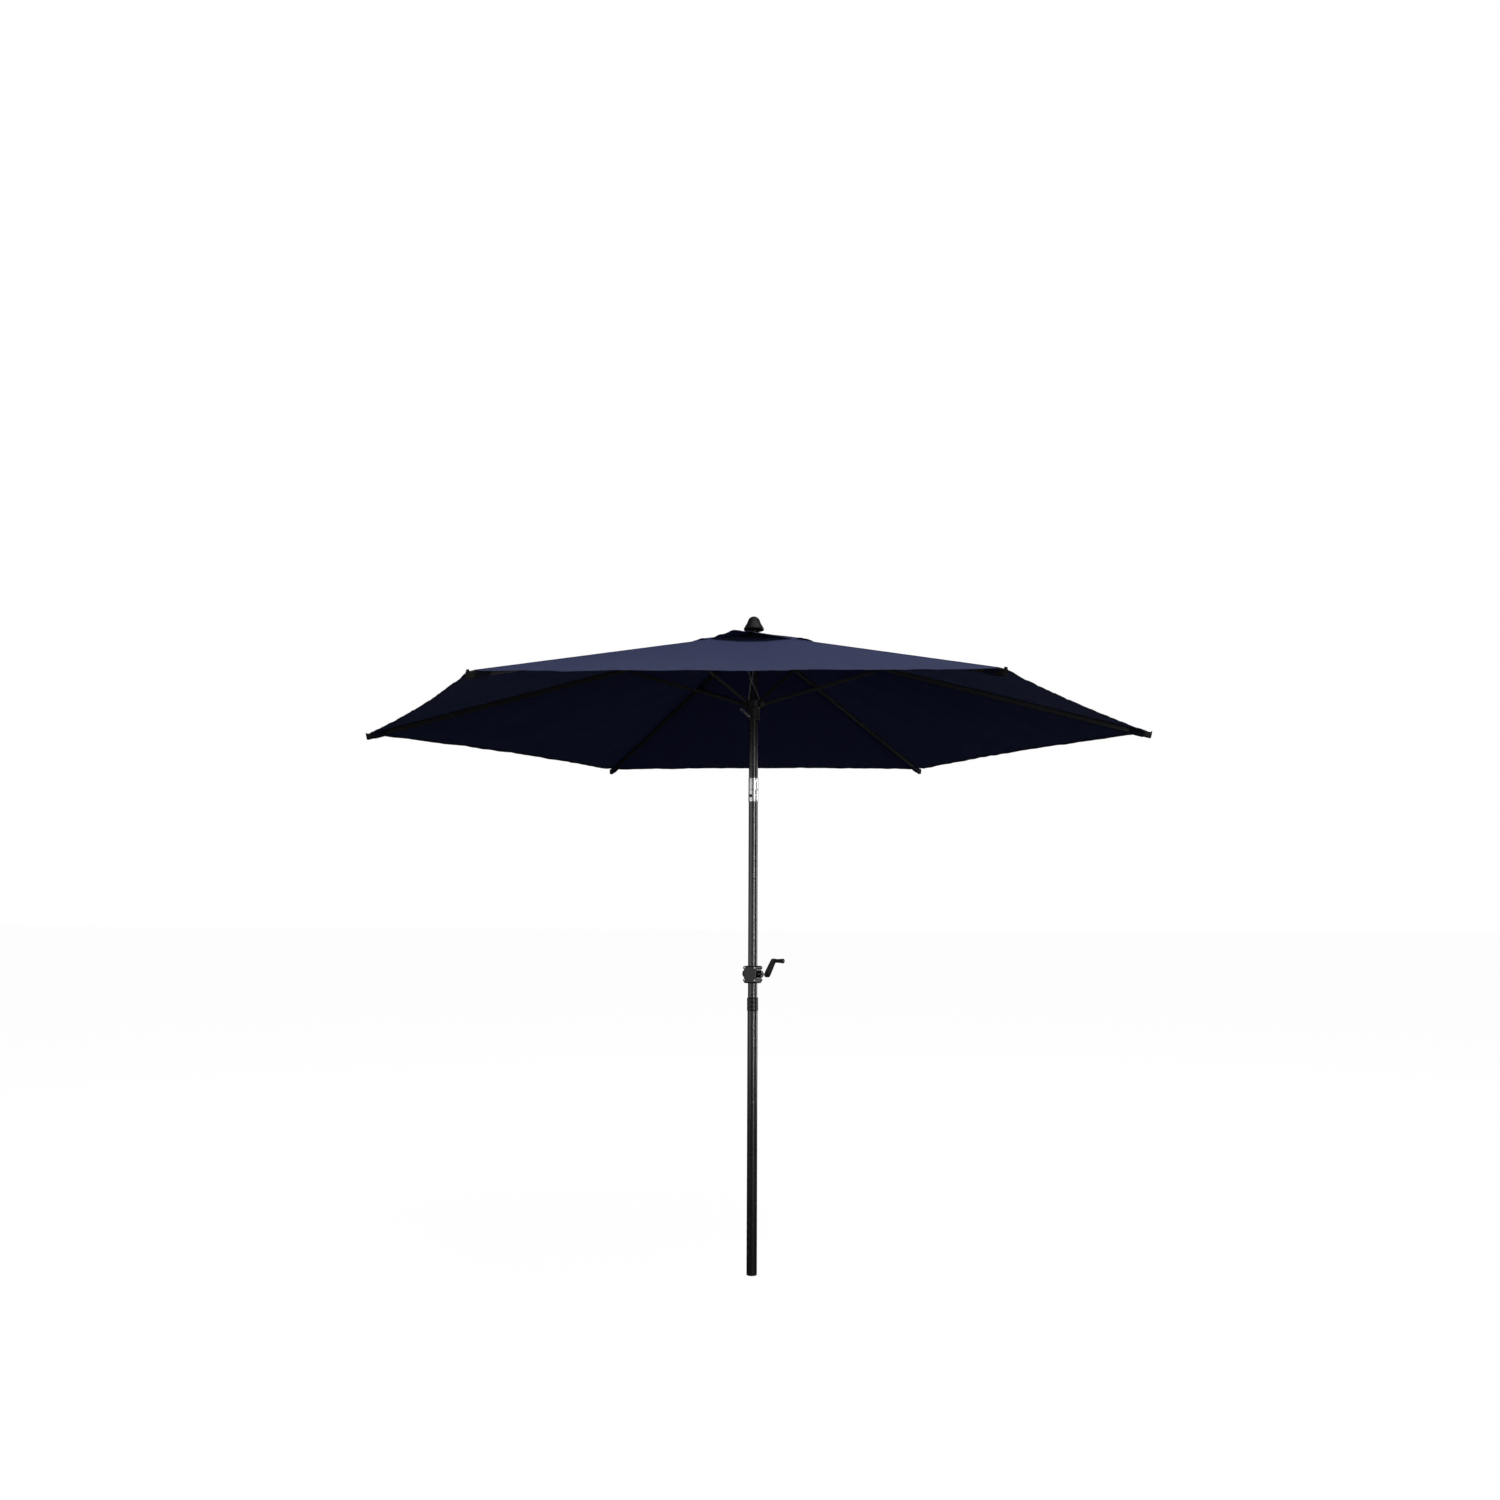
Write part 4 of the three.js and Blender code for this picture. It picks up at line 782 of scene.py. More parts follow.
def ribSlots(inner, outer, half, low, high):
    return [block("slot", (inner, outer), (-half, half), (low, high), Matrix.Rotation(ribStep * k, 4, "Z"))
            for k in range(ribs)]


def hexPath(radius, corner):  # straight sides that cross the ribs, with round corners
    far = radius / math.cos(math.pi / ribs)
    turns = [ribStep * (k + 0.5) for k in range(ribs)]
    corners = [(far * math.cos(turn), far * math.sin(turn)) for turn in turns]
    return [(x, y, 0) for x, y in softened(corners, corner, steps=8)]


def makeHub():
    size = hub
    place = Matrix.Translation((0, 0, hubHinge.z))
    bore = poleRadius + gap
    outline = [(bore, size["socketLow"]), (size["socket"], size["socketLow"]),
               (size["socket"], -size["below"] - 4), (size["socket"] + 5, -size["below"]),
               (size["flange"], -size["below"]), (size["flange"], size["above"]),
               (size["core"] + 3, size["above"]), (size["core"], size["above"] + 4),
               (size["core"], size["top"]), (size["post"], size["top"]), (size["post"], size["postTop"]),
               (0, size["postTop"]), (0, -16), (bore, -16)]
    start = 12  # the point on the axis, inside
    profile = [outline[start]] + softened(outline[start + 1:] + outline[:start], 1.2, closed=False)
    body = lathe("hub_body", profile, 96)
    slots = ribSlots(size["slotInner"], 80, size["lug"] / 2 + size["play"], -12, 13)
    route = hexPath(hubHinge.x / mm, size["corner"])
    ring = swept("groove", route, circle(size["ringWire"] + 0.5, 12), closed=True)
    pulleyRoom = block("room", (-4, 4), (-29.2, 4.5), (-30, 17))
    combined(body, [*slots, ring, pulleyRoom], "DIFFERENCE")
    bevelled(body, 0.6, 2, 40)
    body.data.transform(place)
    placed(body, "upper_pole", plastic, "black_plastic", "top_hub")
    ring = swept("hinge_ring", route, circle(size["ringWire"] - 0.02, 16), closed=True)
    ring.data.transform(place)
    placed(ring, "upper_pole", steel, "steel", "hub_hinge_ring")

    axle = Matrix.Translation((0, -13 * mm, 2 * mm)) @ turnTo("x")
    wheel = softened([(2.3, -3.5), (14.2, -3.5), (14.2, -2.9), (10.7, -1.6), (10.7, 1.6), (14.2, 2.9),
                      (14.2, 3.5), (2.3, 3.5)], 0.4)
    placed(lathe("pulley_wheel", wheel, 64, place @ axle), "pulley", plastic, "black_plastic", "top_pulley")
    pin = softened([(0, -14), (2, -14), (2, 14), (0, 14)], 0.4, closed=False)
    placed(lathe("pulley_axle", pin, 32, place @ axle), "upper_pole", steel, "steel", "pulley_pin")

    low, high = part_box("finial")
    base, tall, wide = low.z / mm, (high.z - low.z) / mm, size["finialWide"]
    bell = [(5.3, 0), (wide * 0.88, 0), (wide, 1.2), (wide + 0.4, 4.4)]
    bell += [(wide * share, z) for share, z in
             ((0.985, 8), (0.93, 12.5), (0.86, 17), (0.765, 23), (0.69, 28.5), (0.63, 34), (0.595, 38.5),
              (0.555, 42), (0.48, 46.5), (0.37, 50.5), (0.24, 53.3), (0.1, 54.7))]
    scaled = [(r, z * tall / 55) for r, z in bell + [(0, 55)]]
    shape = [(0, 26.2), (5.3, 26.2)] + softened(scaled, 2.0, closed=False, steps=3)
    finial = lathe("finial_bell", shape, 96, Matrix.Translation((0, 0, base * mm)))
    placed(finial, "upper_pole", shadedDarkPlastic, "black_plastic", "finial", angle=50)


makeHub()
print("hub done")


runner = {"bore": 19.5, "wall": 25.0, "flange": 42.0, "half": 12.0, "top": 13.0, "below": -61.0,
          "foot": 26.8, "pivot": 34.0, "lug": 8.0, "slotInner": 26.5, "wire": 2.2, "corner": 3.0}


def makeRunner():
    size = runner
    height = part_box("runner")[1].z - size["top"] * mm
    place = Matrix.Translation((0, 0, height))
    bore, wall, foot, flange = size["bore"], size["wall"], size["foot"], size["flange"]
    low, half, top = size["below"], size["half"], size["top"]
    outline = [(bore, low), (foot, low), (foot, low + 7), (wall, low + 10), (wall - 0.4, -half - 6),
               (wall + 3, -half), (flange, -half), (flange, half), (wall + 1, half), (wall, top),
               (bore + 0.6, top), (bore, top - 1)]
    body = lathe("runner_body", softened(outline, 1.0), 96)
    slots = ribSlots(size["slotInner"], 70, size["lug"] / 2 + 0.6, -13, 14)
    notches = []
    for k in range(ribs):  # lightening pockets between the slots
        turn = Matrix.Rotation(ribStep * (k + 0.5), 4, "Z")
        notches.append(block("notch", (31, 38.5), (-7, 7), (-20, -2), turn))
    combined(body, slots + notches, "DIFFERENCE")
    bevelled(body, 0.5, 2, 40)
    body.data.transform(place)
    placed(body, "runner", plastic, "black_plastic", "runner")
    route = hexPath(size["pivot"], size["corner"])
    wire = swept("runner_hinge_ring", route, circle(size["wire"], 14), closed=True)
    wire.data.transform(place)
    placed(wire, "runner", steel, "steel")
    return height / mm


runnerHeight = makeRunner()
print("runner done")


rib = {"width": 12.0, "height": 18.0, "start": 16.0, "lug": 8.0, "lugRadius": 7.0, "bracketAt": 440.0,
       "drop": 17.0, "ear": 1.8, "earHalf": 7.5, "rivet": 2.5}
strutSize = {"width": 8.0, "height": 12.0, "lug": 6.0, "rivet": 2.5}
capSize = {"length": 30.0, "wall": 2.0, "end": 4.0, "lip": 5.0}


def barOutline(width, height, corner):
    w, h = width / 2, height / 2
    return softened([(-h, -w), (h, -w), (h, w), (-h, w)], corner)


def bar(name, width, height, corner, start, end):  # its height runs along z and its length along x
    turn = Matrix(((0, 0, 1, 0), (0, 1, 0, 0), (-1, 0, 0, 0), (0, 0, 0, 1)))
    return prism(name, barOutline(width, height, corner), start, end, turn)


def across(name, radius, low, high, x, z, segments=40, edge=0.0):
    place = Matrix.Translation((x * mm, 0, z * mm)) @ turnTo("y")
    return lathe(name, rod(radius, low, high, edge), segments, place)


ribEnd = (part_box("rib_tip_cap_1")[1].x - hubHinge.x) / mm
ribLength = ribEnd / math.cos(ribSlope) - rib["height"] / 2 * math.tan(ribSlope)


def ribTemplate():
    size = rib
    tipStart = ribLength - capSize["end"] - gap
    tube = bar("rib", size["width"], size["height"], 3.0, size["start"], tipStart)
    inside = bar("inside", size["width"] - 2.4, size["height"] - 2.4, 2.0, size["start"] + 12, tipStart + 5)
    combined(tube, [inside], "DIFFERENCE")
    half = size["lug"] / 2
    lug = across("lug", size["lugRadius"], -half, half, 0, 0, 48)
    neck = block("neck", (0, size["start"] + 6), (-half, half), (-size["lugRadius"], size["lugRadius"]))
    combined(tube, [lug, neck], "UNION")
    combined(tube, [across("hole", hub["ringWire"] + 0.5, -20, 20, 0, 0)], "DIFFERENCE")
    bevelled(tube, 0.35, 2, 50)
    inner = strutSize["width"] / 2 + 0.6
    low, seat = -size["drop"] - strutSize["lug"] + 1, -size["height"] / 2 + 1
    half = size["earHalf"]
    ear = [(-half - 8, seat), (half + 8, seat), (half, seat - 4), (half - 1, low + 3), (half - 4, low),
           (-half + 4, low), (-half + 1, low + 3), (-half, seat - 4)]
    ear = [(x + size["bracketAt"], z) for x, z in softened(ear, 2.0)]
    turn = Matrix(((1, 0, 0, 0), (0, 0, -1, 0), (0, 1, 0, 0), (0, 0, 0, 1)))
    ears = []
    for s in (1, -1):
        low, high = sorted((s * inner, s * (inner + size["ear"])))
        ears.append(prism("ear", ear, low, high, turn))
    bracket = ears[0]
    saddle = block("saddle", (size["bracketAt"] - half - 8, size["bracketAt"] + half + 8),
                   (-inner - size["ear"], inner + size["ear"]), (seat - 1.2, seat + 0.4))
    pin = across("pin", size["rivet"], -inner - 2.4, inner + 2.4, size["bracketAt"], -size["drop"])
    heads = [across("head", 4.2, s * (inner + 2.4) - 0.6, s * (inner + 2.4) + 0.6, size["bracketAt"],
                    -size["drop"], edge=0.5) for s in (1, -1)]
    combined(bracket, [ears[1], saddle], "UNION")
    bevelled(bracket, 0.3, 2, 50)
    combined(bracket, [pin, *heads], "UNION")
    return tube, bracket


def capTemplate():
    size = capSize
    w, h = rib["width"] + 0.6, rib["height"] + 0.6
    start = ribLength - size["length"]
    outer = bar("cap", w + 2 * size["wall"], h + 2 * size["wall"], 4.0, start, ribLength)
    top = h / 2 + size["wall"]
    lip = block("lip", (ribLength - 3, ribLength), (-w / 2 + 1, w / 2 - 1), (0, top + size["lip"]))
    combined(outer, [lip], "UNION")
    combined(outer, [bar("cavity", w, h, 2.5, start - 5, ribLength - size["end"])], "DIFFERENCE")
    return bevelled(outer, 0.9, 3, 40)


def strutTemplate():
    size = strutSize
    run, rise = strutHinge.x / mm - runner["pivot"], strutHinge.z / mm - runnerHeight
    length = math.hypot(run, rise)
    half = size["width"] / 2
    tube = bar("strut", size["width"], size["height"], 2.0, 4, length - 4)
    for x in (0, length):
        combined(tube, [across("lug", size["lug"], -half, half, x, 0, 48)], "UNION")
    for x in (0, length):
        combined(tube, [across("hole", size["rivet"] + 0.5, -20, 20, x, 0)], "DIFFERENCE")
    bevelled(tube, 0.4, 2, 45)
    return tube, math.atan2(rise, run)


def copied(source, name, place):
    made = linked(name, source.data.copy())
    made.data.transform(place)
    return made


def makeRibs():
    tube, bracket = ribTemplate()
    cap = capTemplate()
    strut, angle = strutTemplate()
    for k in range(ribs):
        number = str(k + 1)
        body = "rib_" + number
        place = ribPlace(k)
        placed(copied(tube, "rib_tube_" + number, place), body, shadedRibPaint, "powder_coat", "rib_" + number)
        placed(copied(bracket, "rib_bracket_" + number, place), body, shadedRibPaint, "powder_coat")
        placed(copied(cap, "tip_cap_" + number, place), body, shadedDarkPlastic, "black_plastic",
               "rib_tip_cap_" + number)
        pivot = Matrix.Translation((runner["pivot"] * mm, 0, runnerHeight * mm))
        stay = Matrix.Rotation(ribStep * k, 4, "Z") @ pivot @ Matrix.Rotation(-angle, 4, "Y")
        placed(copied(strut, "strut_bar_" + number, stay), "strut_" + number, shadedRibPaint, "powder_coat",
               "strut_" + number)
    for template in (tube, bracket, cap, strut):
        bpy.data.objects.remove(template)


makeRibs()
print("ribs and struts done")


canopy = {"tip": 1500.0, "opening": 110.0, "scallop": 31.0, "lift": 2.5, "sag": 15.0, "folds": 2.6,
          "pucker": 0.7, "rows": 90, "columns": 26, "keep": 0.13}
cosHalf, sinHalf = math.cos(math.pi / ribs), math.sin(math.pi / ribs)
ridgeBase = hubHinge.z / mm + (rib["height"] / 2 + canopy["lift"]) / math.cos(ribSlope)


def hemReach(u):  # how far out the cloth goes, as a distance along the ridge
    return canopy["tip"] - canopy["scallop"] * (1 - u * u) / cosHalf


def relief(panel, along, u):
    # u goes from -1 at one rib to 1 at the next; the result is in mm, below the flat panel when negative
    reach = hemReach(u)
    down = (along - canopy["opening"]) / (reach - canopy["opening"])
    belly = math.sin(math.pi * min(1.0, 0.12 + 0.80 * down)) ** 0.8
    free = 1 - u * u
    total = -canopy["sag"] * belly * free
    across = u * along * sinHalf / 1000
    length = along / 1000
    seed = 7.3 * panel
    folds = noise.noise(Vector((across * 7.5, length * 1.3, seed))) * (0.25 + 0.75 * down)
    folds += 0.5 * noise.noise(Vector((across * 17.0, length * 2.2, seed + 3.1)))
    total += canopy["folds"] * folds * min(1.0, 3.5 * free)
    fromHem = (reach - along) / 1000
    hemWave = noise.noise(Vector((across * 26.0, fromHem * 5.0, seed + 5.7)))
    total += 1.8 * hemWave * math.exp(-fromHem / 0.07) * min(1.0, 4 * free)
    fromRib = (1 - abs(u)) * along * sinHalf / 1000
    seamWave = noise.noise(Vector((length * 34.0, fromRib * 12.0, seed + (9.1 if u > 0 else 1.7))))
    total += canopy["pucker"] * seamWave * math.exp(-fromRib / 0.03) * min(1.0, fromRib / 0.008)
    return total


def panelAt(k, t):  # which panel t lies on, and u there
    return (k, abs(t) - 1) if t >= 0 else ((k - 1) % ribs, 1 - abs(t))


def ringPoint(k, along, t, z):
    # t goes from 0 on the rib to 1 or -1 at the middle of the panel on either side
    x = along * (1 - abs(t) * sinHalf ** 2)
    y = along * t * sinHalf * cosHalf
    turn = ribStep * k
    c, s = math.cos(turn), math.sin(turn)
    return Vector(((x * c - y * s) * mm, (x * s + y * c) * mm, z * mm))


def clothPoint(k, along, t, lift=0.0):
    panel, u = panelAt(k, t)
    z = ridgeBase - math.tan(ribSlope) * (along - hubHinge.x / mm) + relief(panel, along, u) + lift
    return ringPoint(k, along, t, z)


def panelUv(along, t):
    u = (1 - abs(t)) * (-1 if t >= 0 else 1)
    return (u * along * sinHalf * mm, along * cosHalf / math.cos(ribSlope) * mm)


def surface(name, outer, inner, at):
    # at(a, b) gives a point and its uv; the faces turn so that they look up
    made = [at(a, b) for a in outer for b in inner]
    n = len(inner)
    faces = [(i * n + j, (i + 1) * n + j, (i + 1) * n + j + 1, i * n + j + 1)
             for i in range(len(outer) - 1) for j in range(n - 1)]
    mesh = bpy.data.meshes.new(name)
    mesh.from_pydata([tuple(pair[0]) for pair in made], [], faces)
    layer = mesh.uv_layers.new(name="cloth")
    for loop in mesh.loops:
        layer.data[loop.index].uv = made[loop.vertex_index][1]
    return linked(name, mesh)


def squashed(obj):
    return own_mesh(obj)


def softPiece(obj, k, material, keep, *nodes):
    smoothed(obj, 60)
    obj.data.materials.append(material)
    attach(obj, "rib_" + str(k + 1))
    if nodes:
        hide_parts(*nodes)
    if keep < 1:
        squashed(obj)
    return obj


def cornerCut(t):  # the cloth stops short of the tip, at the cap
    x = hubHinge.x / mm + (ribLength - capSize["length"] + 4) * math.cos(ribSlope)
    return x / (1 - abs(t) * sinHalf ** 2)


def makeGore(k):
    size = canopy
    number = str(k + 1)

    def reachAt(t):
        return min(hemReach(1 - abs(t)), cornerCut(t))

    def clothAt(down, t):
        along = size["opening"] + (reachAt(t) - size["opening"]) * down
        return clothPoint(k, along, t), panelUv(along, t)

    def hemAt(t, spot):
        inward, lift = spot
        gathered = 0.35 * noise.noise(Vector((t * 90, k * 3.7, 0)))
        return (clothPoint(k, reachAt(t) - inward, t, lift + gathered * (inward > 1)),
                (t * reachAt(t) * sinHalf * mm, inward * mm))

    def seamAt(along, spot):
        side, lift = spot
        wave = 0.25 * noise.noise(Vector((along * 0.045, k * 5.1, 2.0)))
        t = side / (along * sinHalf * cosHalf)
        return clothPoint(k, along, t, lift + wave), (along * mm, side * mm)

    ts = [-1 + j / size["columns"] for j in range(2 * size["columns"] + 1)]
    ts = [math.copysign(abs(t) ** 1.15, t) for t in ts]
    downs = [i / size["rows"] for i in range(size["rows"] + 1)]
    gore = surface("canopy_cloth_" + number, downs, ts, clothAt)
    softPiece(gore, k, cloth, size["keep"], "canopy_panel_" + number)

    # the hem: the edge folded under and sewn, a thin closed band
    section = [(-1.5, -0.6), (-2.0, 0.3), (0.5, 1.0), (9.0, 1.1), (18.5, 1.0), (20.0, 0.4), (20.0, -0.5),
               (9.0, -1.5), (0.0, -1.2), (-1.5, -0.6)]
    hem = surface("canopy_hem_" + number, [-1 + j / 60 for j in range(121)], section, hemAt)
    softPiece(hem, k, hemCloth, size["keep"])

    # the seam tape over the rib
    steps = 150
    end = cornerCut(0)
    tape = ((-6.5, -0.2), (-6.0, 0.7), (-3.0, 1.1), (0, 1.4), (3.0, 1.1), (6.0, 0.7), (6.5, -0.2))
    alongs = [size["opening"] + 2 + (end - size["opening"] - 3) * i / steps for i in range(steps + 1)]
    seam = surface("canopy_seam_" + number, alongs, tape, seamAt)
    softPiece(seam, k, hemCloth, 1)

    # the corner pocket that holds the rib's end
    pocket = makePocket(k, number)
    flatArea = 0.433 * (size["tip"] ** 2 - size["opening"] ** 2) / math.cos(math.radians(16.6))
    flatArea -= size["scallop"] * size["tip"] * 2 / 3


def makePocket(k, number):
    place = ribPlace(k)
    end = ribLength - capSize["length"] + 3
    steps, around = 16, 20

    def pocketAt(i, j):
        share = i / steps
        x = end - 58 * (1 - share)
        hemmed = 2.2 if i in (0, steps) else 2.6
        grow = 1.0 + 1.3 * math.sin(math.pi * share) + hemmed * (0.35 + 0.65 * share)
        z, y = barOutline(rib["width"] + 2 * grow, rib["height"] + 2 * grow, 4.0)[j % around]
        crease = 0.5 * noise.noise(Vector((share * 4, j * 0.5, k * 2.0)))
        point = place @ (Vector((x, y * (1 + 0.04 * crease), z - 0.4 + crease)) * mm)
        return point, (x * mm, j / around * 0.06)

    pocket = surface("corner_pocket_" + number, range(steps + 1), range(around + 1), pocketAt)
    return softPiece(pocket, k, hemCloth, 1)


vent = {"radius": 300.0, "inner": 50.0, "drop": 82.0, "keep": 0.42, "crown": 64.0}
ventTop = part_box("vent_cap")[1].z / mm - 4.0
ventLift = {  # how far a panel's free edge stands up; the one in front stands highest
    4: ((-1.0, 0), (-0.72, 19), (-0.42, 33), (-0.1, 29), (0.28, 18), (0.65, 9), (1.0, 0)),
}
ventLiftElse = ((-1.0, 0), (-0.6, 13), (-0.1, 21), (0.4, 17), (0.75, 8), (1.0, 0))


def between(points, x):  # a smooth height at x from points given left to right
    for (x0, y0), (x1, y1) in zip(points, points[1:]):
        if x <= x1:
            t = max(0.0, (x - x0) / (x1 - x0))
            return y0 + (y1 - y0) * t * t * (3 - 2 * t)
    return points[-1][1]


def ventPoint(k, along, t, lift=0.0):
    size = vent
    panel, u = panelAt(k, t)
    down = along / size["radius"]
    wave = noise.noise(Vector((u * along * 0.022, down * 1.4, 4.1 * panel + 30)))
    free = 1 - u * u
    z = ventTop - size["drop"] * down
    z += between(ventLift.get(panel, ventLiftElse), u) * down
    z += 3.0 * wave * down * down * min(1, 2 * free) + lift
    return ringPoint(k, along, t, z)


def ventReach(t):
    return vent["radius"] - 6 * abs(t) * (2 - abs(t))


def makeFlap(k):
    size = vent
    number = str(k + 1)

    def flapAt(i, t):
        along = size["inner"] + (ventReach(t) - size["inner"]) * i / 28
        return ventPoint(k, along, t), panelUv(along, t)

    def hemAt(t, spot):
        inward, lift = spot
        return (ventPoint(k, ventReach(t) - inward, t, lift),
                (t * ventReach(t) * sinHalf * mm, inward * 0.6 * mm))

    flap = surface("vent_cloth_" + number, range(29), [-1 + j / 12 for j in range(25)], flapAt)
    softPiece(flap, k, ventClothPaintedShade, size["keep"])
    section = [(-1.0, -0.5), (-1.2, 0.3), (0.5, 0.9), (7.0, 0.9), (13.0, 0.7), (14.0, -0.2), (7.0, -1.2),
               (0.0, -1.0), (-1.0, -0.5)]
    hem = surface("vent_hem_" + number, [-1 + j / 24 for j in range(49)], section, hemAt)
    softPiece(hem, k, hemCloth, size["keep"])


def makeCrown():
    size = vent
    share = 16  # columns on each panel

    def crownAt(i, j):
        along = 6 + (size["crown"] - 6) * i / 12
        k, t = j // share % ribs, j % share / share * 2
        turn = math.tau * j / (ribs * share)
        point = ventPoint(k, along, t, 0.8) if t <= 1 else ventPoint((k + 1) % ribs, along, t - 2, 0.8)
        return point, (along * math.cos(turn) * mm, along * math.sin(turn) * mm)

    crown = surface("vent_crown_patch", range(13), range(ribs * share + 1), crownAt)
    smoothed(crown, 60)
    crown.data.materials.append(ventClothPaintedShade)
    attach(crown, "upper_pole")
    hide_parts("vent_cap")


for number in range(ribs):
    makeGore(number)
for number in range(ribs):
    makeFlap(number)
makeCrown()
print("canopy done")


cordSize = {"radius": 2.0, "knotAbove": 76.0, "strand": 2.1, "split": 20.0, "drum": 10.4, "turns": 5}


def cordPiece(name, path, radius, body, *nodes):
    piece = swept(name, path, circle(radius, 12))
    layer = piece.data.uv_layers.new(name="cord")
    start = Vector(path[0]) * mm
    for polygon in piece.data.polygons:
        for index in polygon.loop_indices:
            point = piece.data.vertices[piece.data.loops[index].vertex_index].co
            turn = math.atan2(point.y - polygon.center.y, point.x - polygon.center.x)
            layer.data[index].uv = ((point - start).length, turn / math.tau)
    return placed(piece, body, cordCloth, "cord", *nodes) if body else smoothed(piece)


def spline(points, steps=8):  # a smooth path through the given points
    made = []
    for i in range(len(points) - 1):
        p0, p1 = Vector(points[max(0, i - 1)]), Vector(points[i])
        p2, p3 = Vector(points[i + 1]), Vector(points[min(len(points) - 1, i + 2)])
        for k in range(steps):
            t = k / steps
            made.append(0.5 * (2 * p1 + (p2 - p0) * t + (2 * p0 - 5 * p1 + 4 * p2 - p3) * t * t
                               + (3 * p1 - p0 - 3 * p2 + p3) * t ** 3))
    made.append(Vector(points[-1]))
    return [tuple(p) for p in made]


def makeCord():
    size = cordSize
    hinge = hubHinge.z / mm
    wheel = [(0, -13 + 13 * math.cos(math.pi * k / 16), hinge + 2 + 13 * math.sin(math.pi * k / 16))
             for k in range(17)]
    path = [(0, 0, tiltPlace.z / mm + 1), (0, 0, hinge - 200), *wheel, (0, -26, hinge - 14)]
    cordPiece("cord_over_pulley", path, size["radius"], "upper_pole", "lift_cord_upper")
    start = sidePlace(crankPlace.z) @ Vector((0, -10 * mm, 12 * mm)) / mm
    end = (0, 0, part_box("lift_cord_lower")[1].z / mm)
    cordPiece("cord_in_pole", [tuple(start), end], size["radius"], "base_pole", "lift_cord_lower")

    bottom = runnerHeight + runner["top"] + 0.5
    knot = bottom + size["knotAbove"]
    top = hinge - 14.5
    strands = []
    for s in (1, -1):
        out = [(s * 3.2, -26, top), (s * 9 - 5, -26.4, top - 50), (s * 10 - 10, -26.2, knot + 46),
               (s * 3.5 - 8, -26, knot + 12), (s * 1.2 - 8, -26, knot)]
        strands.append(cordPiece("strand", spline(out), size["strand"], None))
        end = 3 + s * size["split"]
        foot = [(s * 1.2 - 8, -26, knot), (s * 2.4 - 8, -26, knot - 8),
                ((end - 8) * 0.55, -25.4, bottom + 40), (end, -23.4, bottom + 4), (end, -23, bottom)]
        strands.append(cordPiece("strand", spline(foot), size["strand"], None))
    loop = []
    for k in range(49):  # the knot
        t = math.tau * k / 48
        loop.append((-8 + 4.4 * (math.sin(t) + 0.7 * math.sin(2 * t)), -26 + 3.0 * math.sin(3 * t),
                     knot + 5.6 * (math.cos(t) - 0.6 * math.cos(2 * t))))
    strands.append(cordPiece("knot", loop[:-1], size["strand"], None))
    whole = strands[0]
    work = bmesh.new()
    for part in strands:
        work.from_mesh(part.data)
    for part in strands[1:]:
        bpy.data.objects.remove(part)
    mesh = bpy.data.meshes.new("outer")
    work.to_mesh(mesh)
    work.free()
    whole.data = mesh
    whole.name = "cord_outside"
    smoothed(whole)
    mesh.materials.append(cordCloth)
    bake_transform(whole)
    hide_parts("lift_cord_outer")

    tail = []  # the loose end, doubled back on itself
    for side in (-1.9, 1.9):
        half = spline([(-12, -24.5, bottom - 66), (-18, -30, bottom - 61), (-28, -33.5, bottom - 53),
                       (-39, -34.5, bottom - 43), (-47, -34.5, bottom - 36)], 6)
        half = [(x + side * min(1, k / 6), y, z + side * min(1, k / 6)) for k, (x, y, z) in enumerate(half)]
        tail += half if side < 0 else [(-50, -34.5, bottom - 33)] + half[::-1]
    cordPiece("cord_tail", tail, size["strand"], "runner")

    drum, steps, half = size["drum"], 28, 5.2
    count = size["turns"] * steps
    wound = [(drum * math.cos(math.tau * k / steps), drum * math.sin(math.tau * k / steps),
              -half + 2 * half * k / count) for k in range(count + 1)]
    place = sidePlace(crankPlace.z) @ turnTo("x")
    wound = [tuple(place @ (Vector(p) * mm) / mm) for p in wound]
    cordPiece("cord_on_drum", wound, 1.0, "crank", "lift_cord_wound")


makeCord()
print("cord done")

for name, material, slot in (("snap_spring", steel, "steel"), ("crank_drum", plastic, "black_plastic")):
    kept = frame["nodes"][name]
    kept.data.materials.clear()
    kept.data.materials.append(material)
print("inner pieces done")


view = {"place": (0.198, -4.706, 1.3375), "up": 7.055, "aside": 2.57, "roll": 0.22, "lens": 29.80}
stage = {"size": 60.0, "shade": 0.12, "glow": 0.97, "bounce": 0.05, "sky": 0.035, "mirror": 0.16}
lights = {  # those that only shine back from gloss don't reach under the canopy
    "top": {"place": (1.3, -1.6, 5.6), "aim": (0.2, -0.2, 1.6), "size": (5.0, 4.0), "power": 305},
    "fill": {"place": (0.8, -5.4, 1.2), "aim": (0, 0, 1.3), "size": (3.0, 2.0), "power": 14},
    "left": {"place": (-4.6, -2.6, 1.3), "aim": (0, 0, 1.1), "size": (7.0, 3.6), "power": 88,
             "glossOnly": True},
    "strip": {"place": (3.0, -4.6, 1.3), "aim": (0, 0, 1.2), "size": (0.45, 3.8), "power": 150,
              "glossOnly": True},
    "rim": {"place": (4.6, 1.5, 1.4), "aim": (0, 0, 1.2), "size": (2.4, 3.4), "power": 90, "glossOnly": True},
    "back": {"place": (-1.5, 5.0, 3.4), "aim": (0, 0, 2.0), "size": (3.0, 2.0), "power": 50},
}


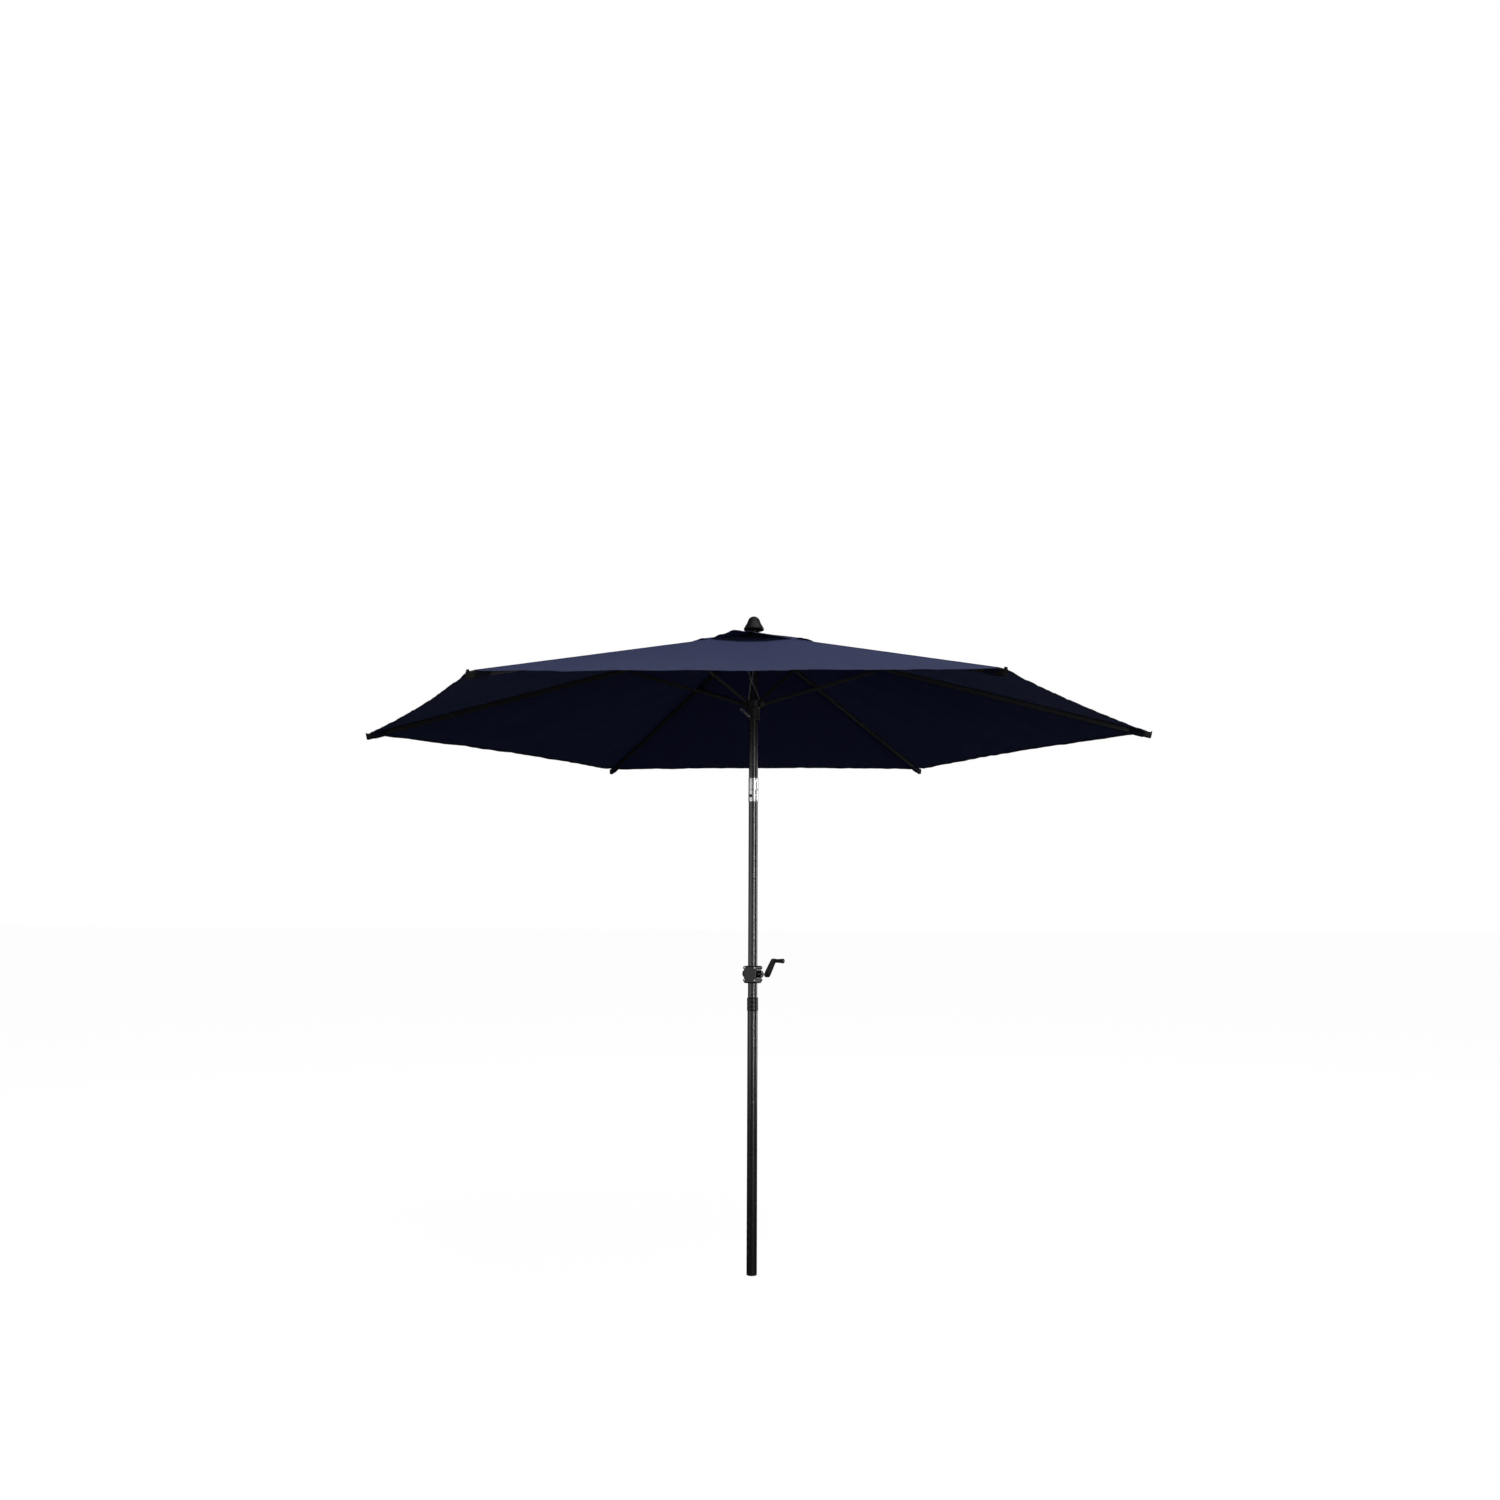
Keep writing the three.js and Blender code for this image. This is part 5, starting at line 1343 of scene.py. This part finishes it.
def paleFloor():
    # pale to the camera, darker to everything it lights, and clear from below
    paint = bpy.data.materials.new("pale floor")
    paint.use_nodes = True
    tree = paint.node_tree
    shader = tree.nodes["Principled BSDF"]
    shader.inputs["Base Color"].default_value = (*[stage["shade"]] * 3, 1)
    shader.inputs["Roughness"].default_value = 0.9
    shader.inputs["Specular IOR Level"].default_value = 0.1
    shader.inputs["Emission Color"].default_value = (1, 1, 1, 1)
    shader.inputs["Emission Strength"].default_value = stage["glow"]
    bounce = node(tree, "ShaderNodeBsdfDiffuse", Color=(*[stage["bounce"]] * 3, 1))
    clear = node(tree, "ShaderNodeBsdfTransparent")
    path, side = node(tree, "ShaderNodeLightPath"), node(tree, "ShaderNodeNewGeometry")
    seen = node(tree, "ShaderNodeMixShader", i0=path.outputs["Is Camera Ray"], i1=bounce.outputs[0],
                i2=shader.outputs[0])
    both = node(tree, "ShaderNodeMixShader", i0=side.outputs["Backfacing"], i1=seen.outputs[0],
                i2=clear.outputs[0])
    tree.links.new(both.outputs[0], tree.nodes["Material Output"].inputs[0])
    return paint


def makeStage():
    size = stage["size"]
    floor = newPiece("floor", [(-size, -size, -0.002), (size, -size, -0.002), (size, size, -0.002),
                               (-size, size, -0.002)], [(0, 1, 2, 3)])
    if floor.data.polygons[0].normal.z < 0:
        floor.data.flip_normals()
    floor.data.materials.append(paleFloor())
    world = bpy.data.worlds.new("studio")
    bpy.context.scene.world = world
    world.use_nodes = True
    tree = world.node_tree
    soft = tree.nodes["Background"]
    soft.inputs["Color"].default_value = (1, 1, 1, 1)
    soft.inputs["Strength"].default_value = stage["sky"]
    seen = node(tree, "ShaderNodeBackground", Color=(1, 1, 1, 1), Strength=1.0)
    glossy = node(tree, "ShaderNodeBackground", Color=(1, 1, 1, 1), Strength=stage["mirror"])
    path = node(tree, "ShaderNodeLightPath")
    both = node(tree, "ShaderNodeMixShader", i0=path.outputs["Is Glossy Ray"], i1=soft.outputs[0],
                i2=glossy.outputs[0])
    both = node(tree, "ShaderNodeMixShader", i0=path.outputs["Is Camera Ray"], i1=both.outputs[0],
                i2=seen.outputs[0])
    tree.links.new(both.outputs[0], tree.nodes["World Output"].inputs[0])
    for name, light in lights.items():
        lamp = bpy.data.lights.new(name, "AREA")
        lamp.energy = light["power"]
        lamp.shape = "RECTANGLE"
        lamp.size, lamp.size_y = light["size"]
        obj = linked(name, lamp)
        obj.location = light["place"]
        away = Vector(light["aim"]) - Vector(light["place"])
        obj.rotation_euler = away.to_track_quat("-Z", "Y").to_euler()
        obj.visible_diffuse = not light.get("glossOnly", False)
    camera = bpy.data.cameras.new("camera")
    camera.lens = view["lens"]
    camera.sensor_width = 36
    obj = linked("camera", camera)
    obj.location = view["place"]
    aside = Matrix.Rotation(math.radians(view["aside"]), 3, "Z")
    up = Matrix.Rotation(math.radians(90 + view["up"]), 3, "X")
    roll = Matrix.Rotation(math.radians(view["roll"]), 3, "Z")
    obj.rotation_euler = (aside @ up @ roll).to_euler()
    bpy.context.scene.camera = obj
    bpy.context.scene.view_settings.view_transform = "Standard"


makeStage()
print("stage done")
